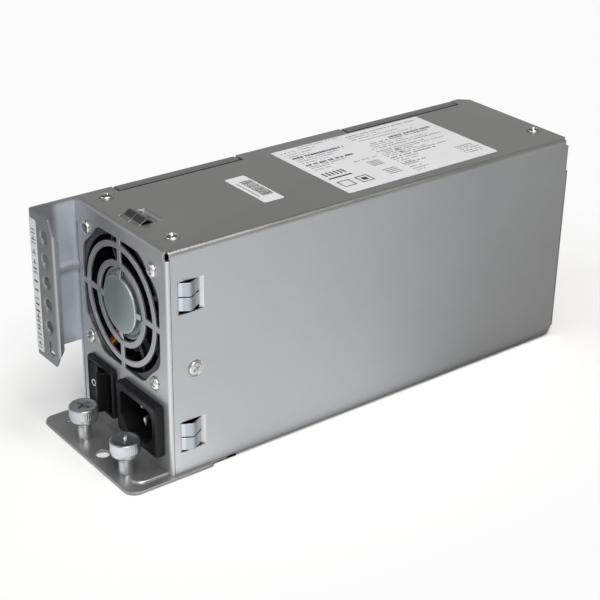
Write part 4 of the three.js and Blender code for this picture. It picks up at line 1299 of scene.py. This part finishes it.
# ------------------------------------------------------------------ output connector at the rear
def build_output():
    left, right, low, high = 12.6, 57.4, 9.6, 28.6

    def blade_slots(front, back):
        return [prism("y", rect(x, x + 3.0, 13.3, 25.3), front, back) for x in (20.0, 47.0)]

    body = prism("y", rect(left, right, low, high, 0.5), 200, 218)
    pocket = prism("y", rect(left + 1.8, right - 1.8, low + 2, high - 2, 0.8), 208, 220)
    body = cut(body, [pocket] + blade_slots(197, 207.9))
    return cut(body, blade_slots(207, 209))


def build_output_blade(x):
    flat = rect(x, x + 2.4, 13.6, 25.0, 0.3)
    tip = rect(x + 0.6, x + 1.8, 14.2, 24.4, 0.2)
    return loft("y", [(flat, 196.0), (flat, 214.6), (tip, 215.5)])


piece(build_output(), "output_housing", "black_plastic", "output_connector",
      bevel=0.2)
for name, x in (("positive", 20.3), ("return", 47.3)):
    piece(build_output_blade(x), f"output_{name}_blade", "brass",
          f"output_blade_{name}", bevel=0.1)


# ------------------------------------------------------------------ labels
TOP_LABEL = TOP + LABEL_THICKNESS
# name, CAD name, axis, outline, low and high level
for name, cad, axis, outline, low, high in (
    ("rating_sticker", "rating_label", "z", rect(7.5, 63, 94.2, 179, 1.0), TOP, TOP_LABEL),
    ("barcode_sticker", "barcode_label", "z", rect(21.7, 51, 59.8, 69.8, 0.8), TOP, TOP_LABEL),
    ("flange_sticker", "flange_label", "y", rect(0.8, 6.4, 37, 97, 0.8),
     EAR_FACE - LABEL_THICKNESS, EAR_FACE),
):
    piece(prism(axis, outline, low, high), name, "label", cad, bevel=0.03)


# ------------------------------------------------------------------ generic print on the labels
RNG = random.Random(7)
DARK, GREY = [], []
# lines of print on the rating label: x, first and last y, height, 1 for dark or 0 for grey
PRINT_LINES = (
    (11.2, 97, 116, 0.8, 0), (14.0, 97, 112, 0.8, 0), (18.8, 98, 126, 1.7, 1),
    (23.2, 98, 117, 0.8, 0), (25.4, 98, 113, 0.8, 0), (28.4, 98, 124, 1.7, 1),
    (32.4, 98, 110, 0.8, 0), (10.8, 134, 176, 0.9, 0), (13.0, 134, 150, 0.9, 0),
    (18.2, 136, 168, 0.8, 0), (21.6, 150, 175, 1.5, 1), (25.6, 136, 155, 0.8, 0),
    (29.8, 134, 175, 1.0, 0), (32.8, 134, 162, 0.9, 0), (36.4, 134, 152, 0.9, 0),
    (40.0, 134, 170, 0.8, 0), (44.4, 134, 148, 0.8, 0), (49.0, 134, 141, 0.9, 0),
    (52.0, 134, 142, 0.9, 0), (55.0, 134, 141, 0.9, 0), (9.0, 108, 131, 0.7, 0),
    (16.4, 98, 109, 0.8, 0), (21.2, 98, 122, 0.8, 0), (30.6, 98, 119, 0.8, 0),
    (34.8, 98, 107, 0.8, 0), (15.4, 134, 161, 0.8, 0), (23.6, 138, 172, 0.8, 1),
    (27.6, 136, 168, 0.8, 0), (34.6, 136, 172, 0.8, 0), (38.2, 134, 158, 0.8, 0),
    (42.2, 134, 160, 0.9, 1), (46.8, 134, 146, 0.8, 0), (50.4, 134, 147, 0.8, 1),
    (57.4, 134, 144, 0.8, 0), (59.6, 134, 139, 0.8, 0), (50.5, 166, 175, 0.9, 0),
    (54.5, 166, 177, 0.9, 0), (36.6, 118, 131, 0.8, 0), (48.6, 166, 176, 1.0, 0),
    (52.4, 166, 177, 1.0, 0), (56.6, 166, 176, 1.0, 0),
)


def dab(ink, x0, x1, y0, y1):
    ink.append(box(x0, x1, y0, y1, TOP_LABEL - 0.01, TOP_LABEL + 0.02))


def print_line(ink, x, y, last, height):
    """A run of anonymous dashes standing for a line of print."""
    while y < last:
        width = min(RNG.uniform(0.5, 1.5), last - y)
        if width > 0.2:
            dab(ink, x - height / 2, x + height / 2, y, y + width)
        y += width + 0.35 + (0.9 if RNG.random() < 0.22 else 0)


def print_blocks():
    """Plain blocks, frames and short bars in place of marks."""
    dab(DARK, 45.6, 46.8, 96.5, 109)
    for i in range(6):
        dab(DARK, 39.4, 43.6, 97.4 + i * 2.0, 98.3 + i * 2.0)
    x, size, line = 50.6, 6.4, 0.6
    for y in (97.0, 106.6):
        dab(DARK, x, x + size, y, y + line)
        dab(DARK, x, x + size, y + size - line, y + size)
        dab(DARK, x, x + line, y + line, y + size - line)
        dab(DARK, x + size - line, x + size, y + line, y + size - line)
    dab(DARK, 52.4, 55.2, 108.4, 111.2)
    for i in range(4):
        dab(GREY, 40 + i * 1.5, 40.8 + i * 1.5, 122, 128.4)
    for i in range(4):
        dab(GREY, 50.6 + i * 1.7, 51.4 + i * 1.7, 122, 129)
    for i in range(2):
        dab(GREY, 34.6 + i * 3.2, 36.2 + i * 3.2, 142.6, 144.6)


def print_barcode():
    """Bars, and a row of dashes to the left of them."""
    x = 27.2
    while x < 45.0:
        width = RNG.choice((0.22, 0.34, 0.5, 0.68))
        dab(DARK, x, min(x + width, 45.2), 63.6, 69.0)
        x += width + RNG.choice((0.24, 0.34, 0.5))
    x = 28.0
    while x < 44:
        width = RNG.uniform(0.5, 1.3)
        dab(GREY, x, x + width, 61.2, 62.2)
        x += width + 0.4


def build_flange_print():
    strokes = []
    z = 38.6
    while z < 95.2:
        height = RNG.uniform(0.7, 2.0)
        plain = RNG.random() < 0.6
        bar = height * 0.45 if plain else 0.42
        strokes.append(prism("y", rect(2.1, 5.1, z, z + bar), -21.14, -21.11))
        if not plain:
            strokes.append(prism("y", rect(3.2, 4.0, z + bar, z + height), -21.14, -21.11))
        z += height + RNG.uniform(0.5, 1.2) + (1.6 if RNG.random() < 0.14 else 0)
    return join(strokes)


for x, first, last, height, dark in PRINT_LINES:
    print_line(DARK if dark else GREY, x, first, last, height)
print_blocks()
print_barcode()
piece(join(DARK), "label_print_dark", "ink", merge=0.0005)
piece(join(GREY), "label_print_grey", "ink_grey", merge=0.0005)
piece(build_flange_print(), "flange_print", "ink", merge=0.0005)

# ------------------------------------------------------------------ CAD parts kept in the case
INNER = {
    "retaining_ring_left": "screw_steel", "retaining_ring_right": "screw_steel",
    "fan_stator": "copper_wire", "main_pcb": "pcb_green", "insulation_sheet": "insulator",
    "bulk_capacitor_1": "capacitor_sleeve", "bulk_capacitor_2": "capacitor_sleeve",
    "output_capacitor": "capacitor_sleeve", "transformer_core": "ferrite",
    "transformer_winding": "tape", "pfc_choke": "copper_wire", "heatsink_primary": "aluminium",
    "heatsink_secondary": "aluminium", "bridge_rectifier": "black_plastic",
    "x_capacitor": "tape", "fuse": "fuse_ceramic",
}
for i in range(1, 5):
    INNER[f"pcb_standoff_{i}"] = "brass"
    INNER[f"pcb_screw_{i}"] = "screw_steel"
for name, finish in INNER.items():
    dress(NODES[name], finish)
    bevel_edges(NODES[name], width=0.18, segments=2, angle=35, clamp=True)

# ------------------------------------------------------------------ floor (metres from here on)
NEUTRAL, BLUE, WARM = (1.0, 1.0, 1.0), (0.965, 0.99, 1.02), (1.01, 1.0, 0.985)
SWEEP_PEAK = 2.4    # emission strength at a full ramp value
# what the plated sheet mirrors: direction in degrees from +x, brightness, colour
SWEEP = [
    (-180, 0.38, NEUTRAL), (-150, 0.38, NEUTRAL), (-122, 0.42, NEUTRAL), (-108, 0.56, BLUE),
    (-96, 0.78, BLUE), (-80, 1.12, BLUE), (-62, 1.65, BLUE), (-46, 2.05, BLUE),
    (-34, 1.75, BLUE), (-26, 1.35, BLUE), (-12, 1.02, BLUE), (15, 0.97, BLUE), (31, 0.84, BLUE),
    (41, 0.62, BLUE), (50, 0.42, NEUTRAL), (64, 0.35, WARM), (180, 0.40, NEUTRAL),
]


def mirrored_paper(finish, xyz):
    """Paper sweep seen in reflections, strongest towards the front right corner."""
    dx = finish.math("ADD", xyz["X"], 0.05)
    dy = finish.math("ADD", xyz["Y"], 0.05)
    turn = finish.span(finish.math("ARCTAN2", dy, dx), 0.0, 1.0, -pi, pi)
    sweep = finish.ramp(turn, [
        ((degrees + 180) / 360.0, tint(colour, value / SWEEP_PEAK))
        for degrees, value, colour in SWEEP
    ])
    # close to the foot of the case the paper lies in its shadow
    beyond_x = finish.math("SUBTRACT", finish.math("ABSOLUTE", xyz["X"]), 0.0365)
    from_middle = finish.math("ABSOLUTE", finish.math("ADD", xyz["Y"], 0.00975))
    beyond_y = finish.math("SUBTRACT", from_middle, 0.11925)
    gap = finish.math("MAXIMUM", beyond_x, beyond_y)
    strength = finish.span(gap, 0.5, SWEEP_PEAK, 0.0006, 0.0045)
    return finish.node("Emission", {"Color": sweep, "Strength": strength}).outputs[0]


def distance_on_floor(finish, xyz):
    """Elliptical distance from the middle of the floor."""
    x_part = finish.math("MULTIPLY", finish.math("MULTIPLY", xyz["X"], xyz["X"]), 2.56)
    y_part = finish.math("MULTIPLY", finish.math("MULTIPLY", xyz["Y"], xyz["Y"]), 0.81)
    return finish.math("SQRT", finish.math("ADD", x_part, y_part))


def floor_material():
    finish = Finish("floor_paper")
    soft = finish.noise(scale=1.2, detail=3)
    finish.surface({
        "Base Color": finish.ramp(soft, [(0.3, (0.86,) * 3), (0.7, (0.88,) * 3)]),
        "Roughness": 0.9,
        "Specular IOR Level": 0.1,
    })
    xyz = finish.xyz()
    rays = finish.node("LightPath").outputs
    mirror = mirrored_paper(finish, xyz)
    # far from the case the camera sees evenly lit paper
    far = finish.node("Emission", {"Color": (0.965, 0.966, 0.968, 1)}).outputs[0]
    distance = finish.span(distance_on_floor(finish, xyz), 0.0, 1.0, 0.10, 0.24)
    away = finish.math("MULTIPLY", distance, rays["Is Camera Ray"])
    seen = finish.mix_shaders(away, finish.shader.outputs[0], far)
    finish.feed(finish.output, {0: finish.mix_shaders(rays["Is Glossy Ray"], seen, mirror)})
    return finish.material


def build_floor():
    steps, radii = 96, (0.3, 0.8, 1.6, 3.5, 7.0)
    points = [(0, 0, 0)]
    for radius in radii:
        points += [place("z", point, 0) for point in circle((0, 0), radius, steps)]
    faces = [[0, 1 + i, 1 + (i + 1) % steps] for i in range(steps)]
    for k in range(len(radii) - 1):
        inner, outer = 1 + k * steps, 1 + (k + 1) * steps
        for i in range(steps):
            j = (i + 1) % steps
            faces.append([inner + i, outer + i, outer + j, inner + j])
    mesh = bpy.data.meshes.new("floor")
    mesh.from_pydata(points, [], faces)
    floor = bpy.data.objects.new("floor", mesh)
    COLLECTION.objects.link(floor)
    floor.location = (0, 0, -0.0003)
    mesh.materials.append(floor_material())


build_floor()


# ------------------------------------------------------------------ world, lights, camera
# height of the viewing direction, brightness
SKY = (
    (0.0, 0.60), (0.12, 0.52), (0.38, 0.42), (0.48, 0.34), (0.57, 0.15), (0.66, 0.035), (1.0, 0.02),
)


def build_world():
    world = bpy.data.worlds.new("studio")
    bpy.context.scene.world = world
    world.use_nodes = True
    graph = Graph(world.node_tree)
    direction = graph.node("TexCoord").outputs["Generated"]
    height = graph.node("SeparateXYZ", {0: direction}).outputs["Z"]
    sky = graph.ramp(height, [(position, tint(WARM, value)) for position, value in SKY])
    light = graph.node("Background", {"Color": sky, "Strength": 0.9})
    backdrop = graph.node("Background", {"Color": (0.95, 0.95, 0.95, 1), "Strength": 1.0})
    camera_ray = graph.node("LightPath").outputs["Is Camera Ray"]
    mixed = graph.mix_shaders(camera_ray, light.outputs[0], backdrop.outputs[0])
    graph.node("OutputWorld", {0: mixed})


def area_light(name, location, target, size, power, colour):
    data = bpy.data.lights.new(name, "AREA")
    data.shape = "RECTANGLE"
    data.size, data.size_y = size
    data.energy = power
    data.color = colour
    light = bpy.data.objects.new(name, data)
    COLLECTION.objects.link(light)
    light.location = location
    aim = Vector(target) - Vector(location)
    light.rotation_euler = aim.to_track_quat("-Z", "Y").to_euler()


def build_camera(azimuth, elevation, roll, location, lens):
    back = Vector((
        sin(azimuth) * cos(elevation), -cos(azimuth) * cos(elevation), sin(elevation),
    ))
    forward = -back
    right = forward.cross(Vector((0, 0, 1))).normalized()
    up = right.cross(forward)
    rolled_right = cos(roll) * right + sin(roll) * up
    rolled_up = -sin(roll) * right + cos(roll) * up
    data = bpy.data.cameras.new("camera")
    data.sensor_fit = "HORIZONTAL"
    data.sensor_width = 36.0
    data.lens = lens
    data.clip_start = 0.01
    camera = bpy.data.objects.new("camera", data)
    COLLECTION.objects.link(camera)
    pose = Matrix((rolled_right, rolled_up, back)).transposed().to_4x4()
    pose.translation = location
    camera.matrix_world = pose
    bpy.context.scene.camera = camera


build_world()
area_light("key", location=(1.1, -0.55, 1.15), target=(0.05, 0, 0.0), size=(0.8, 0.8),
           power=14.0, colour=(1.0, 0.99, 0.975))
area_light("fill_front", location=(-0.35, -1.35, 0.95), target=(0, -0.05, 0.05), size=(0.8, 0.6),
           power=5.0, colour=(0.95, 0.975, 1.0))
area_light("overhead", location=(0.42, 0.05, 1.6), target=(0, 0, 0), size=(0.8, 0.8),
           power=17.5, colour=(1.0, 0.985, 0.955))
build_camera(azimuth=radians(52.39212), elevation=radians(26.55771), roll=radians(0.94333),
             location=(0.467594, -0.377869, 0.335864), lens=89.363)

view = bpy.context.scene.view_settings
view.view_transform = "Standard"
view.look = "None"
view.exposure = 0.0
view.gamma = 1.0


bpy.context.view_layer.update()
